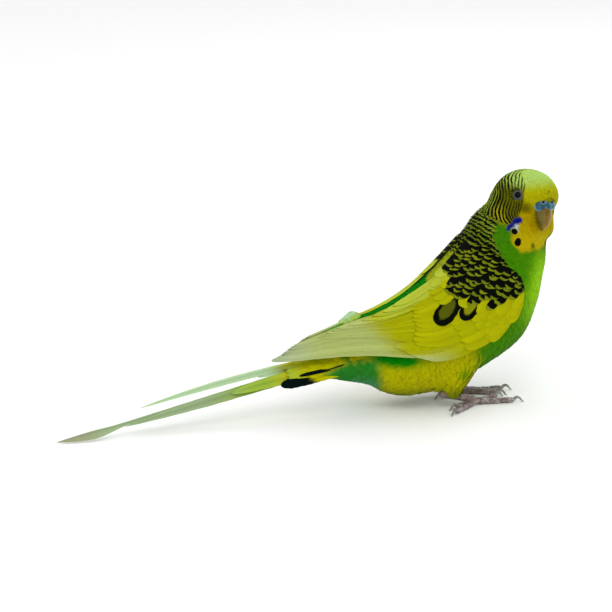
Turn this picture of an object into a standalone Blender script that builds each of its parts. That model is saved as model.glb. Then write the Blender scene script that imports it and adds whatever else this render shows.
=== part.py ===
"""A life-size adult male budgerigar, green and yellow pied, standing low on the floor.

The body leans forward at about 45 degrees, the head is turned to the bird's right, the wings are
folded over the rump and the long tail comes down to the floor behind. +X is the way the body
faces, +Z is up, and the origin is on the floor under the middle of the bird's own box.
Every size below is in millimetres, and new_mesh turns them into metres.
"""

import math

import bmesh
import bpy
import numpy as np
from mathutils import Matrix, Vector

MM = 0.001
GAP = 0.3  # what touching pieces keep between them
LEG_AHEAD = 55.7  # how far the feet stand ahead of the middle of the whole bird's box

# The body as a stack of upright oval sections from the tail root to the crown.
# Each has its back point (x, z), its breast point (x, z) and its half width.
BODY = [
    (-52.0, 18.6, -50.0, 12.0, 4.6),
    (-46.5, 21.4, -43.5, 10.2, 6.6),
    (-41.0, 24.3, -36.5, 8.4, 8.8),
    (-35.0, 27.6, -31.0, 5.2, 11.4),
    (-29.0, 31.2, -23.5, 3.6, 13.8),
    (-23.0, 35.8, -11.5, 5.2, 15.4),
    (-17.0, 41.2, 4.5, 12.2, 16.2),
    (-11.0, 47.0, 16.3, 20.0, 16.2),
    (-5.3, 53.0, 21.6, 31.0, 15.2),
    (-0.2, 58.6, 23.9, 41.5, 13.6),
    (3.8, 63.8, 26.0, 49.8, 12.4),
    (6.2, 67.9, 28.2, 57.2, 11.8),
    (7.8, 70.8, 29.9, 63.6, 11.6),
    (10.6, 73.0, 30.4, 69.4, 10.6),
    (13.6, 74.9, 27.6, 73.4, 7.8),
    (17.0, 75.9, 23.0, 75.6, 3.2),
]
CROWN = (20.0, 0.0, 76.2)
BODY_SIDES = 28
RINGS_PER_STATION = 2
NECK_TOP, NECK_FOOT = 10.1, 8.5  # stations of the thin cuts above and below the neck
HEAD_FROM, HEAD_BLEND = 9.2, 1.6  # where the body's sections start to follow the turned head

# The folded wings lie on a second, wider stack of sections that runs on to the wing tips.
WINGS = [
    (3.9, 63.4, 25.0, 51.5, 12.6),
    (0.0, 58.8, 26.0, 43.5, 15.6),
    (-5.4, 53.4, 24.5, 32.0, 17.6),
    (-11.5, 47.6, 19.0, 20.0, 18.6),
    (-18.2, 41.8, 8.0, 10.0, 18.6),
    (-25.3, 37.0, -6.0, 5.0, 17.6),
    (-33.0, 33.5, -22.0, 5.5, 15.2),
    (-41.0, 31.2, -33.5, 8.5, 12.0),
    (-50.0, 28.6, -46.0, 11.0, 9.0),
    (-60.0, 25.2, -58.0, 13.5, 6.0),
    (-71.5, 21.0, -71.0, 17.0, 2.6),
]

# The head turns about the vertical through its middle. Its own axes are forward, left and up.
HEAD = Vector((18.9, 0.0, 65.0))
HEAD_TURN = math.radians(-76)
HEAD_RADII = (12.1, 11.3, 11.2)
# Where the head swells or sinks from that oval: direction, height and spread in degrees
FACE_RELIEF = [
    ((0.80, 0.0, 0.60), 0.5, 26),
    ((0.93, 0.0, -0.36), -2.2, 28),
    ((0.64, 0.72, -0.34), -2.3, 27),
    ((0.64, -0.72, -0.34), -2.3, 27),
    ((0.50, 0.70, 0.45), -0.35, 16),
    ((0.50, -0.70, 0.45), -0.35, 16),
    ((-0.24, -0.97, -0.30), 1.2, 34),
    ((0.17, 0.67, -0.72), 1.5, 24),
]
EYE_RADIUS, EYE_AT = 2.4, (4.6, 7.0, 3.5)
LID_RADIUS, LID_THICK, LID_OUT = 1.85, 0.45, 1.7

TARSUS_RADIUS, TOE_RADIUS, TOE_HEIGHT = 1.25, 1.0, 0.75
FLOOR, CLAW_CLEARANCE = 0.0, 0.1
CLAW_RADIUS, CLAW_LENGTH = 0.62, 3.9

VANE_THICK = 0.5
TAIL_THICK = 0.6

COLOURS = {
    "green_plumage": (0.13, 0.45, 0.03),
    "yellow_plumage": (0.75, 0.68, 0.03),
    "pale_feather": (0.72, 0.78, 0.42),
    "tail_feather": (0.55, 0.68, 0.28),
    "cere_skin": (0.30, 0.52, 0.68),
    "bill_horn": (0.62, 0.52, 0.22),
    "leg_skin": (0.42, 0.36, 0.38),
    "claw_horn": (0.35, 0.34, 0.30),
    "eye_gloss": (0.01, 0.01, 0.012),
}
ROUGHNESS = {"eye_gloss": 0.05, "cere_skin": 0.35, "bill_horn": 0.3, "claw_horn": 0.3}
PLUMAGE_ROUGHNESS = 0.75


def clear_scene():
    for obj in list(bpy.data.objects):
        bpy.data.objects.remove(obj, do_unlink=True)


def material(slot):
    found = bpy.data.materials.get(slot)
    if found:
        return found
    made = bpy.data.materials.new(slot)
    made.use_nodes = True
    shader = made.node_tree.nodes["Principled BSDF"]
    shader.inputs["Base Color"].default_value = (*COLOURS[slot], 1)
    shader.inputs["Roughness"].default_value = ROUGHNESS.get(slot, PLUMAGE_ROUGHNESS)
    shader.inputs["Metallic"].default_value = 0
    return made


def new_collection(name):
    made = bpy.data.collections.new(name)
    bpy.context.scene.collection.children.link(made)
    return made


def new_mesh(name, points, faces, slot, collection):
    """An object from points in millimetres, with every face turned outwards."""
    mesh = bpy.data.meshes.new(name)
    mesh.from_pydata([tuple(MM * float(c) for c in p) for p in points], [], faces)
    shell = bmesh.new()
    shell.from_mesh(mesh)
    bmesh.ops.recalc_face_normals(shell, faces=shell.faces)
    shell.to_mesh(mesh)
    shell.free()
    obj = bpy.data.objects.new(name, mesh)
    obj.data.materials.append(material(slot))
    collection.objects.link(obj)
    return obj


def along(rows, q):
    """The row at station q of a table, on a smooth curve through all of its rows."""
    rows = np.asarray(rows, float)
    last = len(rows) - 1
    q = np.clip(np.asarray(q, float), 0, last)
    i = np.minimum(q.astype(int), last - 1)
    t = (q - i)[..., None]
    before, here, after, beyond = (rows[np.clip(i + k, 0, last)] for k in (-1, 0, 1, 2))
    slope = after - before
    bend = 2 * before - 5 * here + 4 * after - beyond
    twist = 3 * here - before - 3 * after + beyond
    return 0.5 * (2 * here + slope * t + bend * t**2 + twist * t**3)


def oval(rows, q, angle, grow=0.0):
    """A point of the stack's surface. Angle 0 is the bird's right side, and 90 degrees its back."""
    row = along(rows, q)
    back, breast, half_width = row[..., 0:2], row[..., 2:4], row[..., 4]
    middle, half = (back + breast) / 2, (back - breast) / 2
    reach = np.linalg.norm(half, axis=-1)
    rise = (1 + grow / reach) * np.sin(angle)
    return np.stack(
        [
            middle[..., 0] + half[..., 0] * rise,
            -(half_width + grow) * np.cos(angle),
            middle[..., 1] + half[..., 1] * rise,
        ],
        axis=-1,
    )


def lofted(name, rings, slot, collection, poles=(None, None)):
    """A closed skin over rings of equally many points, each end closed by a fan to a pole."""
    rings = np.asarray(rings, float)
    count, sides = rings.shape[:2]
    points = list(rings.reshape(-1, 3))
    faces = []
    for k in range(count - 1):
        for j in range(sides):
            n = (j + 1) % sides
            a, b = k * sides + j, k * sides + n
            c, d = (k + 1) * sides + n, (k + 1) * sides + j
            faces += [(a, b, c), (a, c, d)]
    for ring, pole in ((0, poles[0]), (count - 1, poles[1])):
        points.append(rings[ring].mean(axis=0) if pole is None else np.array(pole, float))
        top = len(points) - 1
        for j in range(sides):
            faces.append((ring * sides + j, ring * sides + (j + 1) % sides, top))
    return new_mesh(name, points, faces, slot, collection)


def tube(name, path, radii, sides, slot, collection, up=(0, 0, 1), floor=None):
    """A tapered rod along a path of points, each with a (across, along up) pair of radii."""
    path = np.asarray(path, float)
    tangents = np.gradient(path, axis=0)
    rings = []
    for point, tangent, (across, tall) in zip(path, tangents, radii):
        tangent = tangent / np.linalg.norm(tangent)
        side = np.cross(tangent, up)
        side /= np.linalg.norm(side)
        over = np.cross(side, tangent)
        turns = 2 * math.pi * (np.arange(sides) + 0.5) / sides
        ring = point + np.outer(np.cos(turns) * across, side) + np.outer(np.sin(turns) * tall, over)
        if floor is not None:
            ring[:, 2] = np.maximum(ring[:, 2], floor)
        rings.append(ring)
    return lofted(name, rings, slot, collection)


def settle(obj):
    """Applies an object's modifiers."""
    graph = bpy.context.evaluated_depsgraph_get()
    mesh = bpy.data.meshes.new_from_object(obj.evaluated_get(graph))
    obj.modifiers.clear()
    obj.data = mesh


def boolean(obj, other, operation, solver="MANIFOLD"):
    modifier = obj.modifiers.new("join", "BOOLEAN")
    modifier.operation = operation
    modifier.solver = solver
    if isinstance(other, bpy.types.Collection):
        modifier.operand_type = "COLLECTION"
        modifier.collection = other
    else:
        modifier.object = other
    settle(obj)
    keep_largest(obj)


def keep_largest(obj):
    """Leaves an object only its closed surface of the greatest volume."""
    mesh = bmesh.new()
    mesh.from_mesh(obj.data)
    bmesh.ops.triangulate(mesh, faces=mesh.faces)
    bmesh.ops.dissolve_degenerate(mesh, dist=1e-7, edges=mesh.edges)
    mesh.verts.index_update()
    unseen, shells = set(mesh.faces), []
    while unseen:
        shell, edge_of = set(), [unseen.pop()]
        while edge_of:
            face = edge_of.pop()
            shell.add(face)
            for edge in face.edges:
                for beside in edge.link_faces:
                    if beside in unseen:
                        unseen.discard(beside)
                        edge_of.append(beside)
        volume = sum(
            f.verts[0].co.dot(f.verts[1].co.cross(f.verts[2].co)) for f in shell
        )
        shells.append((abs(volume), shell))
    shells.sort(key=lambda pair: pair[0])
    spare = [face for _, shell in shells[:-1] for face in shell]
    bmesh.ops.delete(mesh, geom=spare, context="FACES")
    mesh.to_mesh(obj.data)
    mesh.free()


def drop(collection):
    for obj in list(collection.objects):
        bpy.data.objects.remove(obj, do_unlink=True)
    bpy.data.collections.remove(collection)


def fuse(base, pieces):
    """Joins a collection of closed pieces to one object, and removes the pieces."""
    boolean(base, pieces, "UNION")
    drop(pieces)


def slab(name, upper, lower, slot, collection):
    """A thin vane between two like grids of points, with its triangles alike on both faces."""
    rows, columns = upper.shape[:2]
    size = rows * columns
    points = np.concatenate([upper.reshape(-1, 3), lower.reshape(-1, 3)])
    faces = []
    for r in range(rows - 1):
        for c in range(columns - 1):
            a, b = r * columns + c, r * columns + c + 1
            d, e = a + columns, b + columns
            faces += [(a, b, e), (a, e, d)]
            faces += [(a + size, e + size, b + size), (a + size, d + size, e + size)]
    rim = [(0, c) for c in range(columns)] + [(r, columns - 1) for r in range(1, rows)]
    rim += [(rows - 1, c) for c in range(columns - 2, -1, -1)] + [(r, 0) for r in range(rows - 2, 0, -1)]
    rim = [r * columns + c for r, c in rim]
    for a, b in zip(rim, rim[1:] + rim[:1]):
        faces += [(a, a + size, b + size), (a, b + size, b)]
    return new_mesh(name, points, faces, slot, collection)


# Body, from the tail root to the crown, modelled whole and then parted by thin cuts


def face_radius(ways):
    """How far the head's surface lies from its middle, for unit directions in the head's axes."""
    radius = 1 / np.linalg.norm(ways / np.array(HEAD_RADII), axis=-1)
    for way, height, spread in FACE_RELIEF:
        way = np.array(way) / np.linalg.norm(way)
        off = np.arccos(np.clip(ways @ way, -1, 1))
        radius = radius + height * np.exp(-((off / math.radians(spread)) ** 2))
    return radius


def shaped_head(points, share, grow):
    """Draws points towards the turned head's own surface, by a share from 0 to 1."""
    turn = np.array(Matrix.Rotation(HEAD_TURN, 3, "Z"))
    local = (points - np.array(HEAD)) @ turn
    reach = np.linalg.norm(local, axis=-1, keepdims=True)
    ways = local / reach
    wanted = (face_radius(ways) + grow)[..., None]
    return np.array(HEAD) + (ways * (reach + (wanted - reach) * share)) @ turn.T


def body_rings(grow=0.0):
    last = len(BODY) - 1
    stations = np.linspace(0, last, last * RINGS_PER_STATION + 1)
    angles = np.linspace(0, 2 * math.pi, BODY_SIDES, endpoint=False)
    rings = []
    for q in stations:
        share = min(1, max(0, (q - HEAD_FROM) / HEAD_BLEND))
        ring = oval(BODY, np.full(BODY_SIDES, q), angles, grow)
        rings.append(shaped_head(ring, share * share * (3 - 2 * share), grow))
    return np.stack(rings)


def whole_body(name, collection, grow=0.0):
    crown = (CROWN[0], CROWN[1], CROWN[2] + grow)
    body = lofted(name, body_rings(grow), "green_plumage", collection, (None, crown))
    return body


def half_space(name, station, sign, collection):
    """A big block that holds all of the body above (or below) a station's own plane."""
    back_x, back_z, breast_x, breast_z, _ = along(BODY, station)
    across = Vector((back_x - breast_x, 0, back_z - breast_z)).normalized()
    upward = Vector((across.z, 0, -across.x))
    if upward.z < 0:
        upward = -upward
    size = 200 * MM
    middle = Vector(((back_x + breast_x) / 2, 0, (back_z + breast_z) / 2)) * MM
    bpy.ops.mesh.primitive_cube_add(size=size)
    block = bpy.context.object
    block.name = name
    turn = Matrix((across, upward.cross(across), upward)).transposed().to_4x4()
    shift = middle + upward * sign * (size / 2 + GAP * MM / 2)
    block.data.transform(Matrix.Translation(shift) @ turn)
    for other in block.users_collection:
        other.objects.unlink(block)
    collection.objects.link(block)
    return block


def build_body(bird, helpers):
    bounds = {
        "torso": [(NECK_FOOT, -1)],
        "neck": [(NECK_FOOT, 1), (NECK_TOP, -1)],
        "head": [(NECK_TOP, 1)],
    }
    parts = {}
    for name, planes in bounds.items():
        part = whole_body(name, bird)
        for station, sign in planes:
            block = half_space(name + "_block", station, sign, helpers)
            boolean(part, block, "INTERSECT")
            bpy.data.objects.remove(block, do_unlink=True)
        parts[name] = part
    return parts


# Face: eyes in lidded sockets, two-lobed cere with nostrils, hooked bill in two pieces


def head_matrix():
    return Matrix.Translation(HEAD) @ Matrix.Rotation(HEAD_TURN, 4, "Z")


def in_head(points):
    """Points given as forward, left and up of the head's middle, in the bird's own axes."""
    place = head_matrix()
    return np.array([place @ Vector(p) for p in np.asarray(points, float)])


def head_loft(name, stations, sides, slot, collection, grow=0.0):
    """A loft whose stations are (forward, up, half width, half depth, lean) in the head's middle plane."""
    turns = 2 * math.pi * np.arange(sides) / sides
    rings = []
    for forward, up, half_width, half_depth, lean in stations:
        wide, deep = half_width + grow, half_depth + grow
        lean = math.radians(lean)
        left = np.sin(turns) * wide
        out = np.cos(turns) * deep
        ring = np.stack([forward + out * math.cos(lean), left, up + out * math.sin(lean)], axis=1)
        rings.append(in_head(ring))
    return lofted(name, rings, slot, collection)


# Upper bill: down from under the cere and hooked back at its tip. Lower bill: a scoop behind it.
UPPER_BILL = [
    (8.6, 1.0, 1.8, 1.2, 30),
    (9.3, 0.0, 2.5, 2.0, 20),
    (9.8, -1.7, 2.65, 2.3, 3),
    (10.2, -3.7, 2.3, 1.95, -6),
    (10.2, -5.4, 1.7, 1.4, -14),
    (9.9, -6.7, 1.05, 0.85, -24),
    (9.4, -7.6, 0.5, 0.4, -34),
]
LOWER_BILL = [
    (5.2, -3.6, 1.6, 1.2, 50),
    (6.1, -4.8, 2.0, 1.4, 45),
    (6.9, -6.0, 1.9, 1.3, 35),
    (7.5, -7.1, 1.4, 0.9, 22),
    (7.8, -7.9, 0.7, 0.4, 15),
]
CERE_LOBE_AT, CERE_LOBE = (9.6, 1.85, 0.7), (1.9, 2.35, 2.0)
NOSTRIL_AT, NOSTRIL_RADIUS = (11.1, 2.0, 1.9), 0.5


def ball(name, centre, radii, slot, collection, segments=14, rings=8, turn=None):
    """An ellipsoid in the head's axes."""
    bpy.ops.mesh.primitive_uv_sphere_add(segments=segments, ring_count=rings, radius=1)
    obj = bpy.context.object
    obj.name = name
    shape = Matrix.Diagonal((*radii, 1))
    place = head_matrix() @ Matrix.Translation(centre) @ (turn or Matrix.Identity(4)) @ shape
    obj.data.transform(Matrix.Scale(MM, 4) @ place)
    obj.data.materials.append(material(slot))
    for other in obj.users_collection:
        other.objects.unlink(obj)
    collection.objects.link(obj)
    return obj


def cere_piece(name, collection, helpers, grow=0.0):
    forward, aside, up = CERE_LOBE_AT
    radii = [r + grow for r in CERE_LOBE]
    cere = ball(name, (forward, -aside, up), radii, "cere_skin", collection, 14, 8)
    other = ball(name + "_lobe", (forward, aside, up), radii, "cere_skin", helpers, 14, 8)
    boolean(cere, other, "UNION")
    bpy.data.objects.remove(other, do_unlink=True)
    return cere


def subtract(obj, cutter):
    boolean(obj, cutter, "DIFFERENCE")
    bpy.data.objects.remove(cutter, do_unlink=True)


def build_face(head, bird, helpers):
    cere = cere_piece("cere", bird, helpers)
    for side in (-1, 1):
        forward, aside, up = NOSTRIL_AT
        centre = (forward, side * aside, up)
        hole = ball("nostril", centre, (1.1, NOSTRIL_RADIUS, NOSTRIL_RADIUS), "cere_skin", helpers, 8, 5)
        subtract(cere, hole)
    upper = head_loft("upper_bill", UPPER_BILL, 10, "bill_horn", bird)
    subtract(upper, cere_piece("cere_grown", helpers, helpers, GAP))
    lower = head_loft("lower_bill", LOWER_BILL, 10, "bill_horn", bird)
    subtract(lower, head_loft("upper_grown", UPPER_BILL, 10, "bill_horn", helpers, GAP))
    for side, name in ((-1, "right"), (1, "left")):
        forward, aside, up = EYE_AT
        centre = Vector((forward, side * aside, up))
        outward = centre.normalized()
        turn = outward.to_track_quat("Z", "Y").to_matrix().to_4x4()
        ball("eye_" + name, centre, (EYE_RADIUS,) * 3, "eye_gloss", bird, 14, 9, turn)
        bpy.ops.mesh.primitive_torus_add(
            major_segments=16, minor_segments=6, major_radius=LID_RADIUS, minor_radius=LID_THICK
        )
        lids = bpy.context.object
        place = head_matrix() @ Matrix.Translation(centre + outward * LID_OUT) @ turn
        lids.data.transform(Matrix.Scale(MM, 4) @ place)
        for other in lids.users_collection:
            other.objects.unlink(lids)
        helpers.objects.link(lids)
        boolean(head, lids, "UNION")
        bpy.data.objects.remove(lids, do_unlink=True)
        subtract(head, ball("socket", centre, (EYE_RADIUS + GAP,) * 3, "eye_gloss", helpers, 14, 9, turn))
    subtract(head, cere_piece("cere_grown", helpers, helpers, GAP))
    subtract(head, head_loft("upper_grown", UPPER_BILL, 10, "bill_horn", helpers, GAP))
    subtract(head, head_loft("lower_grown", LOWER_BILL, 10, "bill_horn", helpers, GAP))


# Wings: a thin shell from the bend to the middle of the wing, with the feathers in tiers on it


def wing_frame(q, angle):
    """Point, outward normal and millimetres for each radian across, on the wing surface."""
    step = 0.02
    here = oval(WINGS, q, angle)
    ahead = oval(WINGS, q + step, angle) - oval(WINGS, q - step, angle)
    across = (oval(WINGS, q, angle + step) - oval(WINGS, q, angle - step)) / (2 * step)
    normal = np.cross(across, ahead)
    normal /= np.linalg.norm(normal, axis=-1, keepdims=True)
    outward = here - oval(WINGS, q, angle + math.pi)
    sign = np.sign((normal * outward).sum(axis=-1, keepdims=True))
    return here, normal * sign, np.linalg.norm(across, axis=-1)


# Lower and upper edge of the folded wing, in degrees round the sections, at each wing station
LOWER_EDGE = [14, 12, -8, -19, -12, -4, 1, 3, 1, 0, 0]
UPPER_EDGE = [50, 56, 66, 76, 79, 79, 78, 76, 74, 70, 60]
SHELL_FRONT, SHELL_END = 1.15, 6.3
SHELL_ROWS, SHELL_COLUMNS = 9, 6


def edge_angle(edge, q):
    return math.radians(1) * along(np.array(edge, float)[:, None], q)[..., 0]


def wing_shell(side, bird):
    """The covered part of the wing: outer face just under the coverts, inner face sunk in the body."""
    outer, inner = [], []
    for r, share in enumerate(np.linspace(0, 1, SHELL_ROWS)):
        top, bottom = [], []
        for spread in np.linspace(0, 1, SHELL_COLUMNS):
            front = SHELL_FRONT + 0.75 * (1 - spread) ** 2
            q = front + (SHELL_END - front) * share
            low, high = edge_angle(LOWER_EDGE, q), edge_angle(UPPER_EDGE, q)
            angle = low + (high - low) * spread
            point, normal, _ = wing_frame(q, angle)
            rim = min(1.0, 4 * min(spread, 1 - spread), 6 * share, 5 * (1 - share))
            lift = -0.35 - 1.3 * share**1.5 - 0.5 * (1 - rim)
            depth = (4.6 - 3.4 * share) * rim**0.5
            top.append(point + normal * lift)
            bottom.append(point + normal * (lift - VANE_THICK - depth))
        outer.append(top)
        inner.append(bottom)
    outer, inner = np.array(outer), np.array(inner)
    outer[..., 1] *= side
    inner[..., 1] *= side
    name = "wing_right" if side > 0 else "wing_left"
    return slab(name, outer, inner, "yellow_plumage", bird)


def wing_vane(name, root, tip, half_width, lift, tilt, widths, side, collection):
    """One feather: root and tip are (station, degrees), and lift its height at each over the surface."""
    upper, lower = [], []
    for share, width in widths:
        q = root[0] + (tip[0] - root[0]) * share
        angle = math.radians(root[1] + (tip[1] - root[1]) * share)
        _, _, per_radian = wing_frame(q, angle)
        height = lift[0] + (lift[1] - lift[0]) * share**0.8
        top, bottom = [], []
        for edge in (-1, 1):
            point, normal, _ = wing_frame(q, angle + edge * half_width * width / per_radian)
            level = height - edge * tilt * width
            top.append(point + normal * (level + VANE_THICK / 2))
            bottom.append(point + normal * (level - VANE_THICK / 2))
        upper.append(top)
        lower.append(bottom)
    upper, lower = np.array(upper), np.array(lower)
    upper[..., 1] *= side
    lower[..., 1] *= side
    slab(name, upper, lower, "pale_feather", collection)


POINTED = [(0, 0.55), (0.3, 0.85), (0.62, 1.0), (0.85, 0.72), (0.96, 0.36), (1, 0.12)]
ROUND = [(0, 0.6), (0.45, 1.0), (0.78, 0.98), (0.94, 0.6), (1, 0.2)]

# Each tier: its name, how many feathers, the first and last root and tip as (station, degrees),
# the first and last half width, lift at root and tip for the first and the last, tilt and outline
TIERS = [
    ("primary", 7, (4.9, 4), (5.3, 36), (9.85, 14), (8.0, 52), 2.4, 2.9, (-3.0, -1.0), (-2.4, -0.9), 0.5, POINTED),
    ("secondary", 5, (4.3, 14), (4.3, 54), (7.7, 50), (6.9, 66), 3.2, 3.2, (-2.3, -0.6), (-2.3, -0.5), 0.5, ROUND),
    ("tertial", 3, (3.2, 60), (2.9, 68), (6.9, 67), (5.6, 72), 2.6, 2.3, (-1.9, 0.0), (-1.9, 0.2), 0.4, ROUND),
    ("primary_covert", 3, (3.1, -8), (3.5, 10), (6.0, 4), (6.2, 17), 2.7, 2.7, (-1.8, -0.6), (-1.8, -0.4), 0.4, ROUND),
    ("greater_covert", 5, (3.3, 8), (3.0, 60), (5.5, 22), (4.9, 64), 3.3, 2.8, (-1.6, 0.0), (-1.6, 0.1), 0.5, ROUND),
    ("median_covert", 5, (2.5, -8), (2.3, 60), (4.3, -2), (3.9, 63), 3.7, 3.0, (-1.3, 0.25), (-1.3, 0.3), 0.5, ROUND),
    ("lesser_covert", 5, (1.95, -6), (1.5, 56), (3.2, -10), (2.9, 60), 3.7, 2.9, (-1.1, 0.45), (-1.1, 0.4), 0.5, ROUND),
    ("edge_covert", 4, (1.65, 2), (1.25, 48), (2.35, -2), (2.1, 52), 3.4, 3.0, (-1.2, 0.35), (-1.2, 0.35), 0.4, ROUND),
]


def build_wing(side, body_grown, bird):
    wing = wing_shell(side, bird)
    vanes = new_collection(wing.name + "_vanes")
    for name, count, root_a, root_b, tip_a, tip_b, wide_a, wide_b, lift_a, lift_b, tilt, outline in TIERS:
        for k in range(count):
            share = k / (count - 1)
            mix = lambda a, b: tuple(np.array(a) + (np.array(b) - np.array(a)) * share)
            wide = wide_a + (wide_b - wide_a) * share
            wing_vane(
                f"{name}_{k}", mix(root_a, root_b), mix(tip_a, tip_b), wide,
                mix(lift_a, lift_b), tilt, outline, side, vanes,
            )
    fuse(wing, vanes)
    boolean(wing, body_grown, "DIFFERENCE")
    return wing


# Tail: graduated pairs of feathers on a root that carries the tail coverts

TAIL_ROOT = [
    (-52.3, 18.5, -50.3, 11.9, 4.5),
    (-58.0, 17.4, -57.0, 11.6, 4.7),
    (-64.0, 16.2, -64.0, 11.8, 4.2),
    (-70.0, 15.0, -70.5, 12.4, 3.0),
    (-74.0, 14.2, -74.5, 13.0, 1.2),
]
# Each feather: root (x, y, z), tip (x, y, z), half width, roll in degrees, bow and outline
PLAIN = [(0, 0.7), (0.25, 1.0), (0.6, 1.0), (0.85, 0.72), (0.96, 0.4), (1, 0.14)]
LANCE = [(0, 0.9), (0.3, 0.85), (0.58, 0.55), (0.74, 0.45), (0.86, 0.85), (0.94, 0.66), (1, 0.14)]
TAIL = [
    ((-55, -0.7, 16.4), (-141.2, -2.2, 0.5), 1.9, 38, -0.5, LANCE),
    ((-55, 0.7, 16.8), (-121.0, -0.8, 3.6), 1.8, 12, -0.3, PLAIN),
    ((-55, -1.8, 16.0), (-113.6, -4.0, 4.9), 1.9, 44, 0.1, PLAIN),
    ((-55, 1.9, 17.4), (-112.6, 4.2, 6.8), 1.2, -40, 1.2, PLAIN),
    ((-56, -2.6, 14.6), (-80.5, -4.2, 11.4), 2.1, 50, 0.6, PLAIN),
    ((-56, 2.6, 15.0), (-86.0, 4.4, 10.6), 2.1, -44, 0.6, PLAIN),
    ((-54, -3.0, 13.4), (-69.5, -4.8, 12.2), 2.2, 58, 0.3, PLAIN),
    ((-54, 3.0, 13.6), (-73.0, 5.0, 12.2), 2.2, -52, 0.3, PLAIN),
]


def tail_vane(name, root, tip, half_width, roll, bow, outline, collection):
    root, tip = np.array(root, float), np.array(tip, float)
    way = (tip - root) / np.linalg.norm(tip - root)
    flat = np.cross((0, 0, 1), way)
    flat /= np.linalg.norm(flat)
    face = np.cross(way, flat)
    roll = math.radians(roll)
    across = flat * math.cos(roll) - face * math.sin(roll)
    normal = np.cross(way, across)
    upper, lower = [], []
    for share, width in outline:
        middle = root + (tip - root) * share + np.array((0, 0, bow * 4 * share * (1 - share)))
        edges = [middle + across * half_width * width * e for e in (-1, 1)]
        upper.append([p + normal * TAIL_THICK / 2 for p in edges])
        lower.append([p - normal * TAIL_THICK / 2 for p in edges])
    upper, lower = np.array(upper), np.array(lower)
    upper[..., 2] = np.maximum(upper[..., 2], 0.0)
    lower[..., 2] = np.maximum(lower[..., 2], 0.0)
    slab(name, upper, lower, "tail_feather", collection)


def build_tail(bird):
    angles = np.linspace(0, 2 * math.pi, 18, endpoint=False)
    rings = [oval(TAIL_ROOT, np.full(18, q), angles) for q in np.linspace(0, len(TAIL_ROOT) - 1, 8)]
    tail = lofted("tail", rings, "tail_feather", bird)
    vanes = new_collection("tail_vanes")
    for k, feather in enumerate(TAIL):
        tail_vane(f"tail_{k}", *feather, vanes)
    fuse(tail, vanes)
    return tail


# Legs: feathered thigh, scaly tarsus and four toes on each foot, two ahead and two behind

LEGS = {
    "right": {
        "thigh": [(-4.0, -8.5, 21.0, 8.0, 6.0), (-8.0, -9.2, 15.5, 7.2, 5.8), (-10.2, -9.4, 10.0, 5.4, 4.8),
                  (-10.6, -9.3, 6.6, 3.6, 3.2), (-10.2, -9.2, 4.2, 2.0, 1.9)],
        "heel": (-14.6, -9.4, 5.4),
        "foot": (-2.0, -8.1, 1.7),
        "toes": {
            "front_outer": (11.0, -10.4), "front_inner": (7.4, -4.4),
            "back_outer": (-12.0, -15.8), "back_inner": (-9.6, -10.9),
        },
    },
    "left": {
        "thigh": [(-5.0, 8.0, 21.0, 7.6, 6.0), (-8.2, 8.6, 15.5, 7.0, 5.6), (-10.4, 8.4, 10.0, 5.0, 4.6),
                  (-10.8, 7.9, 6.6, 3.2, 3.0), (-10.8, 7.6, 4.4, 1.8, 1.8)],
        "heel": (-14.6, 8.2, 5.4),
        "foot": (0.2, 4.6, 1.7),
        "toes": {
            "front_outer": (13.2, 3.4), "front_inner": (9.4, -0.6),
            "back_outer": (-8.6, 12.0), "back_inner": (-8.9, 2.2),
        },
    },
}


def thigh_loft(name, stations, collection, sides=16):
    turns = 2 * math.pi * np.arange(sides) / sides
    rings = [
        [(x + long * math.cos(t), y + wide * math.sin(t), z) for t in turns]
        for x, y, z, long, wide in stations
    ]
    return lofted(name, rings, "yellow_plumage", collection)


def tarsus_tube(name, leg, collection, grow=0.0):
    heel, foot = np.array(leg["heel"]), np.array(leg["foot"])
    path = [heel + (foot - heel) * s for s in (-0.06, 0.05, 0.5, 0.92, 1.08)]
    radii = [(r + grow, r + grow) for r in (0.8, TARSUS_RADIUS + 0.2, TARSUS_RADIUS, TARSUS_RADIUS + 0.1, 0.9)]
    return tube(name, path, radii, 8, "leg_skin", collection, floor=FLOOR)


def toe_tube(name, foot, tip, collection):
    start = np.array((foot[0], foot[1], TOE_HEIGHT + 0.15))
    end = np.array((tip[0], tip[1], TOE_HEIGHT))
    bumps = [(-0.04, 0.95), (0.16, 1.12), (0.34, 0.94), (0.5, 1.04), (0.68, 0.86), (0.84, 0.92), (1.0, 0.62)]
    path = [start + (end - start) * s for s, _ in bumps]
    radii = [(TOE_RADIUS * b, TOE_RADIUS * b) for _, b in bumps]
    return tube(name, path, radii, 8, "leg_skin", collection, floor=FLOOR)


def claw_tube(name, foot, tip, collection):
    start = np.array((tip[0], tip[1], TOE_HEIGHT))
    way = np.array((tip[0] - foot[0], tip[1] - foot[1], 0.0))
    way /= np.linalg.norm(way)
    path, radii = [], []
    for s in (0, 0.25, 0.5, 0.75, 1.0):
        arch = 1.25 * math.sin(math.pi * min(1, 1.15 * s)) - 0.6 * s
        path.append(start + way * (GAP + CLAW_LENGTH * s) + np.array((0, 0, arch)))
        radius = CLAW_RADIUS * (1 - s) ** 0.7 + 0.07
        radii.append((radius, radius))
    return tube(name, path, radii, 6, "claw_horn", collection, floor=CLAW_CLEARANCE)


def build_leg(name, torso, bird, helpers):
    leg = LEGS[name]
    thigh = thigh_loft("thigh_" + name, leg["thigh"], bird)
    subtract(thigh, tarsus_tube("tarsus_grown", leg, helpers, GAP))
    foot = tarsus_tube("foot_" + name, leg, bird)
    toes = new_collection(name + "_toes")
    for toe, tip in leg["toes"].items():
        toe_tube(toe, leg["foot"], tip, toes)
        claw_tube(f"claw_{name}_{toe}", leg["foot"], tip, bird)
    fuse(foot, toes)
    return thigh


def trim_to_body(obj, body_grown):
    boolean(obj, body_grown, "DIFFERENCE")


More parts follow.
